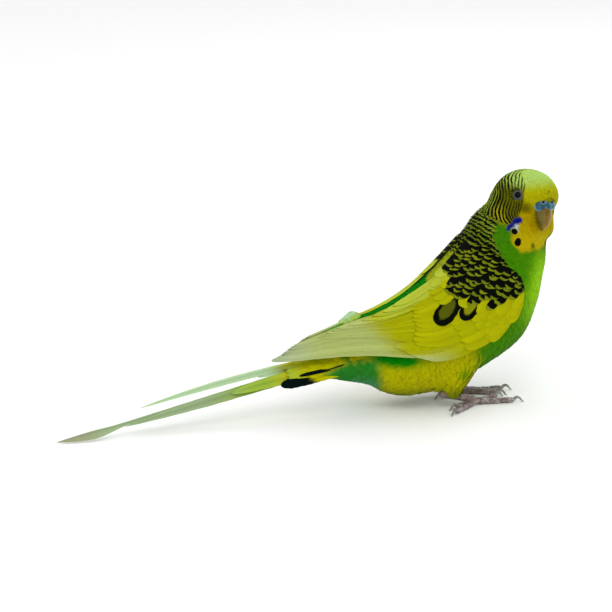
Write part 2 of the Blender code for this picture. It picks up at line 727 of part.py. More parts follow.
def stand_over_origin():
    """Moves the whole bird so that the origin is on the floor under the middle of its box."""
    shift = Matrix.Translation(Vector((LEG_AHEAD, 0, 0)) * MM)
    for obj in bpy.data.objects:
        obj.data.transform(shift)


def shade_round():
    for obj in bpy.data.objects:
        obj.data.shade_smooth()
        obj.data.set_sharp_from_angle(angle=math.radians(40))


def main():
    clear_scene()
    bird = new_collection("budgerigar")
    helpers = new_collection("cutters")
    parts = build_body(bird, helpers)
    build_face(parts["head"], bird, helpers)
    body_grown = whole_body("body_grown", helpers, GAP)
    build_wing(1, body_grown, bird)
    build_wing(-1, body_grown, bird)
    build_tail(bird)
    for name in LEGS:
        thigh = build_leg(name, parts["torso"], bird, helpers)
        trim_to_body(thigh, body_grown)
    drop(helpers)
    stand_over_origin()
    shade_round()


main()
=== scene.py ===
"""A life-size green and yellow pied budgerigar, standing low with its head turned to its right."""

import math
from functools import partial
from itertools import product
import bpy
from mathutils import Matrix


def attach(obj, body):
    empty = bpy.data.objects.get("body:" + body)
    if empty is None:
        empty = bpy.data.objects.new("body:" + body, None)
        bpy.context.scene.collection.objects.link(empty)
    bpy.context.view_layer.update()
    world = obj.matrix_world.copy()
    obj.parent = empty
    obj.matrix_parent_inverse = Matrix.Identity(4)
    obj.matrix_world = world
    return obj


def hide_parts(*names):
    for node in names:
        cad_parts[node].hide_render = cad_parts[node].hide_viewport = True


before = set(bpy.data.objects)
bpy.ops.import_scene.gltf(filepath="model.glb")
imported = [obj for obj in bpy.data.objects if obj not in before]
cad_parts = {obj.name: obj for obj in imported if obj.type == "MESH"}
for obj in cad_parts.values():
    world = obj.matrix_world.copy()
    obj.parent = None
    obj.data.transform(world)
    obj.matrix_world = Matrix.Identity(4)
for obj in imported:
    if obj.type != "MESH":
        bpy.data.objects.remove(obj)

for leftover in ("Cube", "Light", "Camera"):
    if leftover in bpy.data.objects:
        bpy.data.objects.remove(bpy.data.objects[leftover])
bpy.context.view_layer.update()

import bmesh
import numpy as np
from mathutils import Matrix, Vector
from mathutils.bvhtree import BVHTree
from mathutils.kdtree import KDTree

# The studio: a pale floor in even white light, one broad soft light over the camera's left shoulder
# and a weaker one from behind on the right. The camera looks from the bird's right, a little from
# behind and above.
MM = 0.001
ORIGIN = np.array((55.7, 0.0, 0.0))  # from the middle between the feet to the origin of the part
VIEW_TURN, VIEW_RISE, VIEW_DISTANCE = math.radians(-20), math.radians(14.5), 700.0
IMAGE_MIDDLE, PIXELS_PER_MM = 306, 3
FEET_PIXEL = (470, 397)  # where the photo shows the middle between the feet
MM_ACROSS_IMAGE = 2 * IMAGE_MIDDLE / PIXELS_PER_MM
SENSOR = 36
right = np.array((math.cos(VIEW_TURN), math.sin(VIEW_TURN), 0))
upward = np.array((
    -math.sin(VIEW_TURN) * math.sin(VIEW_RISE), math.cos(VIEW_TURN) * math.sin(VIEW_RISE), math.cos(VIEW_RISE)
))
towards = np.cross(right, upward)
aim = right * (IMAGE_MIDDLE - FEET_PIXEL[0]) / PIXELS_PER_MM
aim = aim + upward * (FEET_PIXEL[1] - IMAGE_MIDDLE) / PIXELS_PER_MM + ORIGIN

camera_data = bpy.data.cameras.new("camera")
camera_data.sensor_width = SENSOR
camera_data.lens = SENSOR * VIEW_DISTANCE / MM_ACROSS_IMAGE
camera_data.clip_start, camera_data.clip_end = 0.05, 20
camera = bpy.data.objects.new("camera", camera_data)
bpy.context.collection.objects.link(camera)
turned = Matrix([[*row] for row in np.stack([right, upward, towards], axis=1)]).to_4x4()
camera.matrix_world = Matrix.Translation(Vector((aim + towards * VIEW_DISTANCE) * MM)) @ turned
bpy.context.scene.camera = camera


def shader_socket(material, name):
    return material.node_tree.nodes["Principled BSDF"].inputs[name]


def new_material(name, roughness, **sockets):
    made = bpy.data.materials.new(name)
    made.use_nodes = True
    shader_socket(made, "Roughness").default_value = roughness
    for socket, value in sockets.items():
        shader_socket(made, socket.replace("_", " ")).default_value = value
    return made


def srgb(r, g, b):
    """A colour as a painter would read it off a chart, in the linear values that shaders take."""
    c = np.array((r, g, b), float) / 255
    return np.where(c <= 0.04045, c / 12.92, ((c + 0.055) / 1.055) ** 2.4)


def soft_light(name, place, aim_at, size, watts):
    data = bpy.data.lights.new(name, "AREA")
    data.shape, data.size, data.energy = "DISK", size, watts
    lamp = bpy.data.objects.new(name, data)
    bpy.context.collection.objects.link(lamp)
    lamp.location = place
    lamp.rotation_euler = (Vector(aim_at) - Vector(place)).to_track_quat("-Z", "Y").to_euler()


soft_light("key", (-0.35, -0.75, 0.95), (0, 0, 0.03), 0.7, 3.6)
soft_light("rim", (0.75, 0.35, 0.6), (0, 0, 0.03), 0.6, 2.0)
world = bpy.data.worlds.new("studio")
world.use_nodes = True
world.node_tree.nodes["Background"].inputs["Color"].default_value = (1, 1, 1, 1)
world.node_tree.nodes["Background"].inputs["Strength"].default_value = 0.93
bpy.context.scene.world = world
bpy.context.scene.view_settings.view_transform = "Standard"

bpy.ops.object.select_all(action="DESELECT")
bpy.ops.mesh.primitive_plane_add(size=40, location=(0, 0, 0))
floor = bpy.context.object
floor.name = "floor"
paper = new_material("paper", 0.9, Base_Color=(0.95, 0.95, 0.95, 1))
floor.data.materials.append(paper)


# The skin: one closed body from crown to tail root, with the feathered thighs grown out of it.
# It lies under the coat, as on a plucked bird, and carries the same markings as the feathers,
# so that nothing pale shows between them. The body's sections are those of the solids, and the face
# has a little more relief than theirs.
BODY = np.array([  # back x and z, breast x and z, half width, from the tail root to the crown
    (-52.0, 18.6, -50.0, 12.0, 4.6), (-46.5, 21.4, -43.5, 10.2, 6.6), (-41.0, 24.3, -36.5, 8.4, 8.8),
    (-35.0, 27.6, -31.0, 5.2, 11.4), (-29.0, 31.2, -23.5, 3.6, 13.8), (-23.0, 35.8, -11.5, 5.2, 15.4),
    (-17.0, 41.2, 4.5, 12.2, 16.2), (-11.0, 47.0, 16.3, 20.0, 16.2), (-5.3, 53.0, 21.6, 31.0, 15.2),
    (-0.2, 58.6, 23.9, 41.5, 13.6), (3.8, 63.8, 26.0, 49.8, 12.4), (6.2, 67.9, 28.2, 57.2, 11.8),
    (7.8, 70.8, 29.9, 63.6, 11.6), (10.6, 73.0, 30.4, 69.4, 10.6), (13.6, 74.9, 27.6, 73.4, 7.8),
    (17.0, 75.9, 23.0, 75.6, 3.2),
])
CROWN = (20.0, 0.0, 76.2)
HEAD = np.array((18.9, 0.0, 65.0))
HEAD_TURN = math.radians(-76)
HEAD_RADII = np.array((12.1, 11.3, 11.2))
FACE_RELIEF = [  # way out from the head's middle, height, and spread in degrees
    ((0.82, 0.0, 0.57), 1.1, 26), ((0.93, 0.0, -0.36), -2.2, 28), ((0.64, 0.72, -0.34), -2.3, 27),
    ((0.64, -0.72, -0.34), -2.3, 27), ((0.50, 0.70, 0.45), -0.35, 16), ((0.50, -0.70, 0.45), -0.35, 16),
    ((-0.24, -0.97, -0.30), 1.2, 34), ((0.17, 0.67, -0.72), 1.4, 24), ((0.43, 0.42, -0.80), 2.6, 15),
]
THIGHS = [  # right and left, from the hip down: x, y, z, half length and half width
    [(-4.0, -8.5, 21.0, 8.0, 6.0), (-8.0, -9.2, 15.5, 7.2, 5.8), (-10.2, -9.4, 10.0, 5.4, 4.8),
     (-10.6, -9.3, 6.6, 3.6, 3.2), (-10.2, -9.2, 4.2, 2.0, 1.9)],
    [(-5.0, 8.0, 21.0, 7.6, 6.0), (-8.2, 8.6, 15.5, 7.0, 5.6), (-10.4, 8.4, 10.0, 5.0, 4.6),
     (-10.8, 7.9, 6.6, 3.2, 3.0), (-10.8, 7.6, 4.4, 1.8, 1.8)],
]
COAT_DEPTH = 0.9
head_axes = np.array(Matrix.Rotation(HEAD_TURN, 3, "Z"))  # its columns are forward, left and up


def smooth(low, high, x):
    t = np.clip((np.asarray(x, float) - low) / (high - low), 0, 1)
    return t * t * (3 - 2 * t)


def mix(a, b, t):
    t = np.asarray(t, float)
    return a + (b - a) * (t[..., None] if np.ndim(a) > np.ndim(t) or np.ndim(b) > np.ndim(t) else t)


def unit(v):
    return v / (np.linalg.norm(v, axis=-1, keepdims=True) + 1e-12)


def along(rows, q):
    """The row at station q of a table, on a smooth curve through all of its rows."""
    last = len(rows) - 1
    q = np.clip(np.asarray(q, float), 0, last)
    i = np.minimum(q.astype(int), last - 1)
    t = (q - i)[..., None]
    before, here, after, beyond = (rows[np.clip(i + k, 0, last)] for k in (-1, 0, 1, 2))
    slope, bend = after - before, 2 * before - 5 * here + 4 * after - beyond
    return 0.5 * (2 * here + slope * t + bend * t**2 + (3 * here - before - 3 * after + beyond) * t**3)


def oval(rows, q, angle, grow=0.0):
    """A point of the sections' surface. Angle 0 is the bird's right side, and 90 degrees its back."""
    row = along(rows, q)
    back, breast, half_width = row[..., 0:2], row[..., 2:4], row[..., 4]
    middle, half = (back + breast) / 2, (back - breast) / 2
    rise = (1 + grow / np.linalg.norm(half, axis=-1)) * np.sin(angle)
    x, z = middle[..., 0] + half[..., 0] * rise, middle[..., 1] + half[..., 1] * rise
    return np.stack([x, -(half_width + grow) * np.cos(angle), z], axis=-1)


def circle(count):
    """Evenly spaced angles, once round."""
    return np.linspace(0, 2 * math.pi, count + 1)[:-1]


def face_radius(ways):
    radius = 1 / np.linalg.norm(ways / HEAD_RADII, axis=-1)
    for way, height, spread in FACE_RELIEF:
        off = np.arccos(np.clip(ways @ unit(np.array(way)), -1, 1))
        radius = radius + height * np.exp(-((off / math.radians(spread)) ** 2))
    return radius


def in_head(points):
    """Forward, left and up of the head's middle, for points in the bird's axes."""
    return (points - HEAD) @ head_axes


def from_head(local):
    return HEAD + np.asarray(local, float) @ head_axes.T


def body_surface(q, angle, grow=0.0):
    points = oval(BODY, q, angle, grow)
    share = smooth(0, 1, (q - 9.2) / 1.6)[..., None]
    local = in_head(points)
    reach = np.linalg.norm(local, axis=-1, keepdims=True)
    wanted = (face_radius(local / reach) + grow)[..., None]
    return from_head(local / reach * (reach + (wanted - reach) * share))


def mesh_piece(name, points, faces, material):
    """An object from points in the bird's millimetres and an array of faces with equally many sides."""
    mesh = bpy.data.meshes.new(name)
    points = (np.asarray(points, float).reshape(-1, 3) + ORIGIN) * MM
    faces = np.asarray(faces, np.int32)
    mesh.vertices.add(len(points))
    mesh.vertices.foreach_set("co", points.ravel())
    mesh.loops.add(faces.size)
    mesh.loops.foreach_set("vertex_index", faces.ravel())
    mesh.polygons.add(len(faces))
    mesh.polygons.foreach_set("loop_start", np.arange(len(faces), dtype=np.int32) * faces.shape[1])
    mesh.update(calc_edges=True)
    mesh.validate()
    piece = bpy.data.objects.new(name, mesh)
    bpy.context.collection.objects.link(piece)
    mesh.materials.append(material)
    mesh.shade_smooth()
    mesh.set_sharp_from_angle(angle=math.radians(70))
    return piece


def wrapped_faces(rings, sides, start=0):
    """Four-sided faces round a stack of closed rings."""
    k, j = np.meshgrid(np.arange(rings - 1), np.arange(sides), indexing="ij")
    n = (j + 1) % sides
    quads = np.stack([k * sides + j, (k + 1) * sides + j, (k + 1) * sides + n, k * sides + n], axis=-1)
    return quads.reshape(-1, 4) + start


def loft_piece(name, rings, material, poles=(None, None)):
    """A closed skin over rings of equally many points."""
    rings = np.asarray(rings, float)
    count, sides = rings.shape[:2]
    ends = [rings[0].mean(axis=0) if poles[0] is None else poles[0],
            rings[-1].mean(axis=0) if poles[1] is None else poles[1]]
    points = np.concatenate([rings.reshape(-1, 3), ends])
    mesh = bpy.data.meshes.new(name)
    faces = [tuple(f) for f in wrapped_faces(count, sides)]
    for j in range(sides):
        n = (j + 1) % sides
        faces.append((j, n, count * sides))
        faces.append(((count - 1) * sides + n, (count - 1) * sides + j, count * sides + 1))
    mesh.from_pydata([tuple(p) for p in (points + ORIGIN) * MM], [], faces)
    shell = bmesh.new()
    shell.from_mesh(mesh)
    bmesh.ops.recalc_face_normals(shell, faces=shell.faces)
    shell.to_mesh(mesh)
    shell.free()
    piece = bpy.data.objects.new(name, mesh)
    bpy.context.collection.objects.link(piece)
    mesh.materials.append(material)
    mesh.shade_smooth()
    return piece


def apply_modifiers(piece):
    bpy.ops.object.select_all(action="DESELECT")
    bpy.context.view_layer.objects.active = piece
    piece.select_set(True)
    for modifier in list(piece.modifiers):
        bpy.ops.object.modifier_apply(modifier=modifier.name)


def joined(pieces, name):
    bpy.ops.object.select_all(action="DESELECT")
    for piece in pieces:
        piece.select_set(True)
    bpy.context.view_layer.objects.active = pieces[0]
    bpy.ops.object.join()
    pieces[0].name = name
    return pieces[0]


def fused(pieces, name, voxel, firmness, passes, material):
    """Pieces grown together into one surface, remade in steps of voxel millimetres and smoothed."""
    piece = joined(pieces, name)
    remesh = piece.modifiers.new("one_surface", "REMESH")
    remesh.mode, remesh.voxel_size = "VOXEL", voxel * MM
    soften = piece.modifiers.new("soften", "SMOOTH")
    soften.factor, soften.iterations = firmness, passes
    apply_modifiers(piece)
    piece.data.materials.clear()
    piece.data.materials.append(material)
    piece.data.shade_smooth()
    return piece


def points_of(piece):
    """A piece's points in the bird's millimetres, and their normals."""
    mesh = piece.data
    points, normals = np.empty(len(mesh.vertices) * 3), np.empty(len(mesh.vertices) * 3)
    mesh.vertices.foreach_get("co", points)
    mesh.vertices.foreach_get("normal", normals)
    return points.reshape(-1, 3) / MM - ORIGIN, normals.reshape(-1, 3)


def mark_points(piece, name, values):
    held = piece.data.attributes.new(name, "FLOAT", "POINT")
    held.data.foreach_set("value", values.astype(np.float32))


# The markings: what colour and how dark a bar the plumage has at each place. The pied patches are
# yellow where black and blue are missing. Skin and coat both take their colours from here.
# Some of that colour is painted light: a highlight over the crown, forehead and front of the breast, and
# shade low on the yellow belly.
LEMON, LEMON_PALED_BY_HIGHLIGHT = srgb(158, 166, 4), srgb(158, 192, 92)
MASK_YELLOW, MASK_GOLD, OLIVE_FACE = srgb(156, 152, 2), srgb(160, 138, 1), srgb(82, 84, 4)
CHEEK_YELLOW, GAPE_OLIVE, BIB_GOLD = srgb(150, 146, 8), srgb(74, 70, 3), srgb(166, 150, 3)
CROWN_PALED_BY_HIGHLIGHT, CROWN_OLIVE = srgb(158, 190, 86), srgb(130, 152, 46)
GRASS, GRASS_PAINTED_HIGHLIGHT, DARK_GRASS = srgb(58, 118, 1), srgb(130, 184, 16), srgb(2, 108, 2)
SHOULDER_GREEN, NECK_GREEN = srgb(50, 108, 2), srgb(58, 112, 2)
BELLY_YELLOW, BELLY_PAINTED_SHADE = srgb(158, 156, 1), srgb(106, 120, 14)
VENT_GREEN, VENT_PALE = srgb(34, 112, 30), srgb(64, 130, 80)
BACK_OLIVE, NAPE_PALE, BETWEEN_WINGS = srgb(84, 98, 12), srgb(126, 146, 40), srgb(140, 150, 24)
CHEEK_BLUE, CHEEK_WHITE, SOOT = srgb(14, 16, 110), srgb(166, 184, 178), srgb(5, 8, 3)
FAINT_SPOT = srgb(60, 76, 4)


def spot(points, centre, radius, soft=0.35):
    distance = np.linalg.norm(points - np.array(centre), axis=-1)
    return 1 - smooth(radius - soft, radius + soft, distance)


def station_of(points):
    """The body station and the angle round the body nearest to each point."""
    found = np.array([station_tree.find(Vector(p))[1] for p in points])
    return station_q.ravel()[found], station_angle.ravel()[found]


def pole_distance(local):
    """Arc in millimetres from the line that runs up the face from the cere over the forehead."""
    ways = unit(local)
    rise = np.clip(np.arctan2(ways[..., 2], ways[..., 0]), math.radians(10), math.radians(66))
    cosine = ways[..., 0] * np.cos(rise) + ways[..., 2] * np.sin(rise)
    return 11.4 * np.arccos(np.clip(cosine, -1, 1))


BAR_START = np.array([  # where the fine bars begin, from the crown down past the eye to the gape
    (0.4, 2.5, 11.1), (1.5, 3.1, 10.7), (4.0, 4.3, 9.7), (5.9, 5.4, 8.2), (7.3, 6.0, 6.5), (7.7, 6.8, 4.7),
    (7.9, 7.3, 2.8), (7.6, 7.4, 0.8), (7.0, 7.2, -0.7), (6.5, 7.2, -1.7),
])
start_line = along(BAR_START, np.linspace(0, 9, 55))
RING_START = np.concatenate([[(4.2, 2.5, 10.3), (5.6, 3.9, 9.3), (6.6, 5.1, 8.0)], BAR_START[4:]])
ring_line = along(RING_START, np.linspace(0, 8, 45))


def bar_distance(local):
    """Millimetres behind the line where the bars begin, and from its lower part, which they ring."""
    aside = np.abs(local[:, 1])
    mirrored = np.stack([local[:, 0], np.where(aside < 5, aside**2 / 10 + 2.5, aside), local[:, 2]], axis=1)
    gaps = np.linalg.norm(mirrored[:, None, :] - start_line[None], axis=-1)
    nearest, number = gaps.min(axis=1), gaps.argmin(axis=1)
    ahead = pole_distance(mirrored) < pole_distance(start_line)[number]
    rings = np.linalg.norm(mirrored[:, None, :] - ring_line[None], axis=-1)
    # behind the head the bars lie across it, one below the other, and do not close to rings
    drop = np.maximum(0, 2.5 - local[:, 2])
    lower = 1.7 * smooth(-1.5, -8.0, local[:, 0]) * drop**2 / (drop + 2.0)
    return np.where(ahead, -nearest, nearest), rings.min(axis=1) + lower


def surface_place(local):
    """The place on the body nearest to a point given in the head's axes."""
    return station_points[station_tree.find(Vector(from_head(local)))[1]]


MANTLE_EDGE = (  # stations, and the degrees above the flank from which the back is barred
    [5.8, 8.2, 8.4, 8.6, 9.0, 9.4, 9.9], [5, 9, 20, 32, 48, 53, 51],
)
BELLY_GREENS = [((-1.5, 14.5, 20.0), 2.4), ((-8.8, 14.2, 12.6), 1.6), ((2.5, 11.5, 18.0), 2.2)]
BIB_EDGE = (  # heights in the head's axes, and how far right the bib reaches there
    [-13, -11, -9.8, -7.2, -6, -4.6, -3.2, -1.4], [-10.8, -12.7, -12.9, -12.3, -11.8, -9.8, -8.2, -7.6],
)
# by side, -1 for the right: the stroke of the blue cheek patch, and pale or dark dots beside it
CHEEK_STROKES = {
    -1: [(7.0, 8.8, -4.0), (6.9, 10.0, -4.5), (6.9, 11.2, -5.0), (6.8, 12.4, -5.5), (6.7, 13.6, -6.1)],
    1: [(3.6, 9.6, -4.4), (3.3, 9.8, -5.0), (3.0, 9.9, -5.6), (2.7, 10.0, -6.1), (2.4, 10.0, -6.7)],
}
CHEEK_DOTS = {
    -1: [((7.9, 11.3, -6.1), 0.95, CHEEK_WHITE, 0.8), ((7.5, 10.2, -5.9), 0.75, CHEEK_WHITE, 0.8),
         ((11.0, 6.0, -11.7), 0.9, FAINT_SPOT, 0.85)],
    1: [((5.0, 9.2, -6.6), 1.1, CHEEK_WHITE, 0.9)],
}
HEAD_FROM = 9.62  # the station where the rings of the head give way to the bars of the body


def body_markings(points, q, back, waver):
    """Colour behind the head, how far the back is barred, and how deep its bars are."""
    x, y, z = points.T
    tint = np.tile(GRASS, (len(points), 1))
    # painted highlight: the front of the upper breast is a lighter green
    tint = mix(tint, GRASS_PAINTED_HIGHLIGHT, smooth(-0.1, -0.7, back) * smooth(6.8, 8.2, q))
    tint = mix(tint, SHOULDER_GREEN, 0.6 * smooth(0.0, 0.4, back) * smooth(6.0, 7.5, q))
    low = 1 - smooth(5.7, 6.5, q - 0.7 * back + 0.12 * waver)
    tint = mix(tint, BELLY_YELLOW, low)
    # painted shade: the yellow belly turns olive low down, on its underside
    tint = mix(tint, BELLY_PAINTED_SHADE, low * (1 - smooth(3, 10, z)))
    for side in (-1, 1):
        for centre, reach in BELLY_GREENS:
            tint = mix(tint, GRASS, 0.85 * spot(points * (1, side, 1), centre, reach, 1.6))
    flank = np.exp(-(((x + 31.5) / 7.0) ** 2 + ((z - 19.0 + 0.06 * (x + 31)) / 2.2) ** 2))
    flank = flank * smooth(5, 9, np.abs(y))
    tint = mix(tint, DARK_GRASS, np.clip(1.9 * flank, 0, 1))
    vent = (1 - smooth(2.0, 2.7, q)) * smooth(0.5, 0.1, back)
    tint = mix(tint, VENT_GREEN, vent)
    tint = mix(tint, VENT_PALE, vent * smooth(-0.3, -0.95, back))
    tint = mix(tint, DARK_GRASS, smooth(0.6, 0.85, back) * (1 - smooth(5.6, 6.3, q)))
    degrees = np.degrees(np.arcsin(np.clip(back, -1, 1)))
    barred = smooth(-4, 4, degrees - np.interp(q, *MANTLE_EDGE) + 3 * waver) * smooth(5.5, 6.1, q)
    tint = mix(tint, BACK_OLIVE, barred)
    tint = mix(tint, NAPE_PALE, 0.8 * barred * smooth(8.2, 9.7, q))
    between = smooth(0.8, 0.93, back) * (1 - smooth(7.2, 8.0, q))
    tint = mix(tint, BETWEEN_WINGS, between * barred)
    return tint, barred, barred * mix(1.1, 1.4, smooth(9.0, 7.6, q)) * (1 - 0.85 * between)


def head_colour(local, arc, away, waver):
    """Yellow face, crown paled by painted highlight, and the ground of the barred cheeks and back of the
    head.
    """
    up = local[:, 2]
    face = np.tile(OLIVE_FACE, (len(local), 1))
    cheek = smooth(4.5, 7.5, away) * smooth(1.5, -2.0, up) * (1 - smooth(8.5, 11, away))
    face = mix(face, CHEEK_YELLOW, cheek)
    face = mix(face, NAPE_PALE, smooth(8.5, 12.0, away))
    # painted highlight: the crown and the top of the forehead are paler than their yellow-green, as if lit
    # from above
    crown = mix(np.tile(CROWN_PALED_BY_HIGHLIGHT, (len(local), 1)), CROWN_OLIVE, smooth(2, 8, away))
    face = mix(face, crown, smooth(4.8, 8.5, up))
    front = 1 - smooth(0.2, 1.3, away + 0.25 * waver)
    face = mix(face, MASK_YELLOW, front)
    face = mix(face, MASK_GOLD, front * smooth(3.0, -2.0, up))
    face = mix(face, LEMON, front * smooth(4.0, 7.0, up))
    face = mix(face, LEMON_PALED_BY_HIGHLIGHT, smooth(5.8, 10.2, up + 0.12 * arc) * front)
    for side in (-1, 1):
        face = mix(face, GAPE_OLIVE, 0.8 * spot(local, (7.8, 7.1 * side, -0.2), 2.1, 1.5))
    return face


def bib_share(local, waver):
    """1 inside the yellow bib below the bill, 0 outside it."""
    forward, left, up = local.T
    edge = np.interp(up, *BIB_EDGE)
    foot = smooth(-14.2, -12.5, up + 0.3 * waver - 0.06 * np.clip(left + 2, 0, 20) ** 2)
    bib = foot * (1 - smooth(-2.6, -1.4, up)) * smooth(-1.1, 0.8, left - edge + 0.3 * waver)
    return bib * (1 - smooth(-0.5, 0.5, left + 0.78 * edge)) * smooth(0.5, 2.0, forward)


def bar_turns(q, up, ringed, waver):
    """Phase of the fine bars: rings round the face on the head, rows across the body behind it."""
    steps = np.linspace(0, 40, 161)
    spacing = np.interp(steps[1:], [1, 3, 7, 13], [0.72, 0.88, 1.12, 1.3])
    head_turns = np.concatenate([[0], np.cumsum(0.25 / spacing)])
    stations = np.linspace(5, 11, 121)
    rate = np.interp(stations[1:], [5.5, 7, 8.5, 9.6], [3.9, 4.3, 5.2, 5.9])
    body_turns = np.concatenate([[0], np.cumsum(0.05 * rate)])
    on_head = np.interp(ringed, steps, head_turns) * (1 - 0.24 * smooth(2, 9, up)) + 0.1 * waver
    on_body = -np.interp(q, stations, body_turns) + (0.14 + 0.22 * smooth(9.2, 7.5, q)) * waver
    return np.where(q > HEAD_FROM, on_head, on_body)


def stroke_distance(points, ends):
    """Distance from a line through some places, a little more towards its end, where it tapers."""
    near = np.full(len(points), 99.0)
    for k, (a, b) in enumerate(zip(ends[:-1], ends[1:])):
        share = np.clip(((points - a) @ (b - a)) / ((b - a) @ (b - a)), 0, 1)
        gap = np.linalg.norm(points - a - share[:, None] * (b - a), axis=1)
        near = np.minimum(near, gap + 0.16 * (k + share))
    return near


def markings(points, q, angle):
    """Colour, bar phase and bar depth of the plumage at points on the body."""
    x, y, z = points.T
    local = in_head(points)
    up = local[:, 2]
    back = np.sin(angle)  # 1 on the back, -1 on the breast
    arc = pole_distance(local)
    away, ringed = bar_distance(local)
    waver = 0.5 * np.sin(1.7 * x + 0.9 * z) + 0.5 * np.sin(1.1 * z - 2.3 * y + 1.0)

    tint, barred, body_bars = body_markings(points, q, back, waver)
    on_head = smooth(9.5, 9.75, q)
    tint = mix(tint, head_colour(local, arc, away, waver), on_head)
    bib = bib_share(local, waver)
    tint = mix(tint, MASK_GOLD, bib)
    tint = mix(tint, BIB_GOLD, bib * smooth(-6, -11, up))

    mirrored = local * (1, 0, 1) + np.abs(local) * (0, 1, 0)
    behind_eye = np.exp(-((np.linalg.norm(mirrored - (3.0, 9.8, 3.4), axis=1) / 3.2) ** 2))
    head_bars = smooth(0.35, 0.8, away + 0.1 * waver) * (1 - (arc < 5.0)) * (1 - 0.45 * behind_eye)
    head_bars = head_bars * (0.86 + 0.38 * smooth(2, 8, away))
    depth = mix(body_bars, head_bars, on_head) * (1 - bib)
    below = (1 - smooth(-5.6, -4.6, up)) * smooth(9.0, 10.0, q) * (1 - barred)
    depth = depth * (1 - below)
    tint = mix(tint, NECK_GREEN, below * (1 - bib) * smooth(8.0, 9.5, arc))

    for side in (-1, 1):
        # no bars on the bare ring of the eye
        depth = depth * smooth(1.9, 2.4, np.linalg.norm(local - (5.2, 7.9 * side, 3.9), axis=-1))
    for side in (-1, 1):
        ends = [surface_place(np.array(centre) * (1, side, 1)) for centre in CHEEK_STROKES[side]]
        violet = 1 - smooth(1.0, 1.35, stroke_distance(points, ends) + 0.1 * waver)
        tint = mix(tint, CHEEK_BLUE, violet)
        depth = depth * (1 - violet)
        for centre, radius, colour, strength in CHEEK_DOTS[side]:
            dot = spot(points, surface_place(np.array(centre) * (1, side, 1)), radius, 0.22) * strength
            tint = mix(tint, colour, dot)
            depth = depth * (1 - dot)
    return tint, bar_turns(q, up, ringed, waver), depth


# One shader for every feather. Each feather carries its own length and breadth as attributes, so
# that the barbs run out from its shaft, and its tip pales. Bars and scallops are drawn over that.
def socket_in(group, name, kind, value=None):
    made = group.interface.new_socket(name=name, in_out="INPUT", socket_type=kind)
    if value is not None:
        made.default_value = value
    return made


def math_node(nodes, links, operation, a, b=None, c=None, clamp=False):
    node = nodes.new("ShaderNodeMath")
    node.operation, node.use_clamp = operation, clamp
    for socket, value in zip(node.inputs, (a, b, c)):
        if value is None:
            continue
        if isinstance(value, (int, float)):
            socket.default_value = value
        else:
            links.new(value, socket)
    return node.outputs[0]


def blend_node(nodes, links, factor, a, b):
    node = nodes.new("ShaderNodeMix")
    node.data_type = "RGBA"
    for socket, value in ((node.inputs["Factor"], factor), (node.inputs["A"], a), (node.inputs["B"], b)):
        if isinstance(value, (int, float, tuple)):
            socket.default_value = value
        else:
            links.new(value, socket)
    return node.outputs["Result"]


def step_node(nodes, links, value, low, high):
    node = nodes.new("ShaderNodeMapRange")
    node.interpolation_type = "SMOOTHSTEP"
    links.new(value, node.inputs["Value"])
    node.inputs["From Min"].default_value = low
    node.inputs["From Max"].default_value = high
    return node.outputs["Result"]


def attribute_node(nodes, name):
    node = nodes.new("ShaderNodeAttribute")
    node.attribute_name = name
    return node


def pattern_node(nodes, links, kind, scale, rise=1.0):
    """Noise or cells fixed to the object, drawn out up and down by a rise under 1."""
    node = nodes.new("ShaderNodeTex" + kind)
    node.inputs["Scale"].default_value = scale
    stretch = nodes.new("ShaderNodeMapping")
    stretch.inputs["Scale"].default_value = (1, 1, rise)
    place = nodes.new("ShaderNodeTexCoord")
    links.new(place.outputs["Object"], stretch.inputs["Vector"])
    links.new(stretch.outputs["Vector"], node.inputs["Vector"])
    return node


def emboss(material, height, strength, distance, sunk=False):
    """Fine relief on a material, its distance in millimetres."""
    nodes, links = material.node_tree.nodes, material.node_tree.links
    bump = nodes.new("ShaderNodeBump")
    bump.inputs["Strength"].default_value = strength
    bump.inputs["Distance"].default_value = distance * MM
    bump.invert = sunk
    links.new(height, bump.inputs["Height"])
    links.new(bump.outputs["Normal"], shader_socket(material, "Normal"))


vane_group = bpy.data.node_groups.new("vane", "ShaderNodeTree")
socket_in(vane_group, "Tint", "NodeSocketColor", (0.5, 0.5, 0.1, 1))
socket_in(vane_group, "Feather", "NodeSocketVector")  # along the shaft, across it, and the feather's own tone
socket_in(vane_group, "Marks", "NodeSocketVector")  # bar phase, bar depth, scallop depth
socket_in(vane_group, "Barbs", "NodeSocketFloat", 60.0)
for output, kind in (("Color", "Color"), ("Roughness", "Float"), ("Height", "Float")):
    vane_group.interface.new_socket(name=output, in_out="OUTPUT", socket_type="NodeSocket" + kind)
nodes, links = vane_group.nodes, vane_group.links
calc, step = partial(math_node, nodes, links), partial(step_node, nodes, links)
given = nodes.new("NodeGroupInput")
result = nodes.new("NodeGroupOutput")
feather = nodes.new("ShaderNodeSeparateXYZ")
links.new(given.outputs["Feather"], feather.inputs[0])
marks = nodes.new("ShaderNodeSeparateXYZ")
links.new(given.outputs["Marks"], marks.inputs[0])
shaft_way, cross_way, tone = feather.outputs
bar_phase, bar_depth, scallop_depth = marks.outputs
aside = calc("ABSOLUTE", cross_way)
# barbs slant from the shaft towards the tip
barb_turn = calc("MULTIPLY", calc("MULTIPLY_ADD", aside, -0.35, shaft_way), given.outputs["Barbs"])
barb = calc("SINE", calc("ADD", barb_turn, calc("MULTIPLY", tone, 40.0)))
flaw = calc("SUBTRACT", pattern_node(nodes, links, "Noise", 900).outputs[0], 0.5)
# bars: a depth over 1 also widens them
turn = calc("MULTIPLY_ADD", bar_phase, 2 * math.pi, calc("MULTIPLY", flaw, 1.5))
wave = calc("ADD", calc("SINE", turn), calc("SUBTRACT", bar_depth, 1.0))
bar = calc("MULTIPLY", step(wave, -0.25, 0.3), bar_depth, clamp=True)
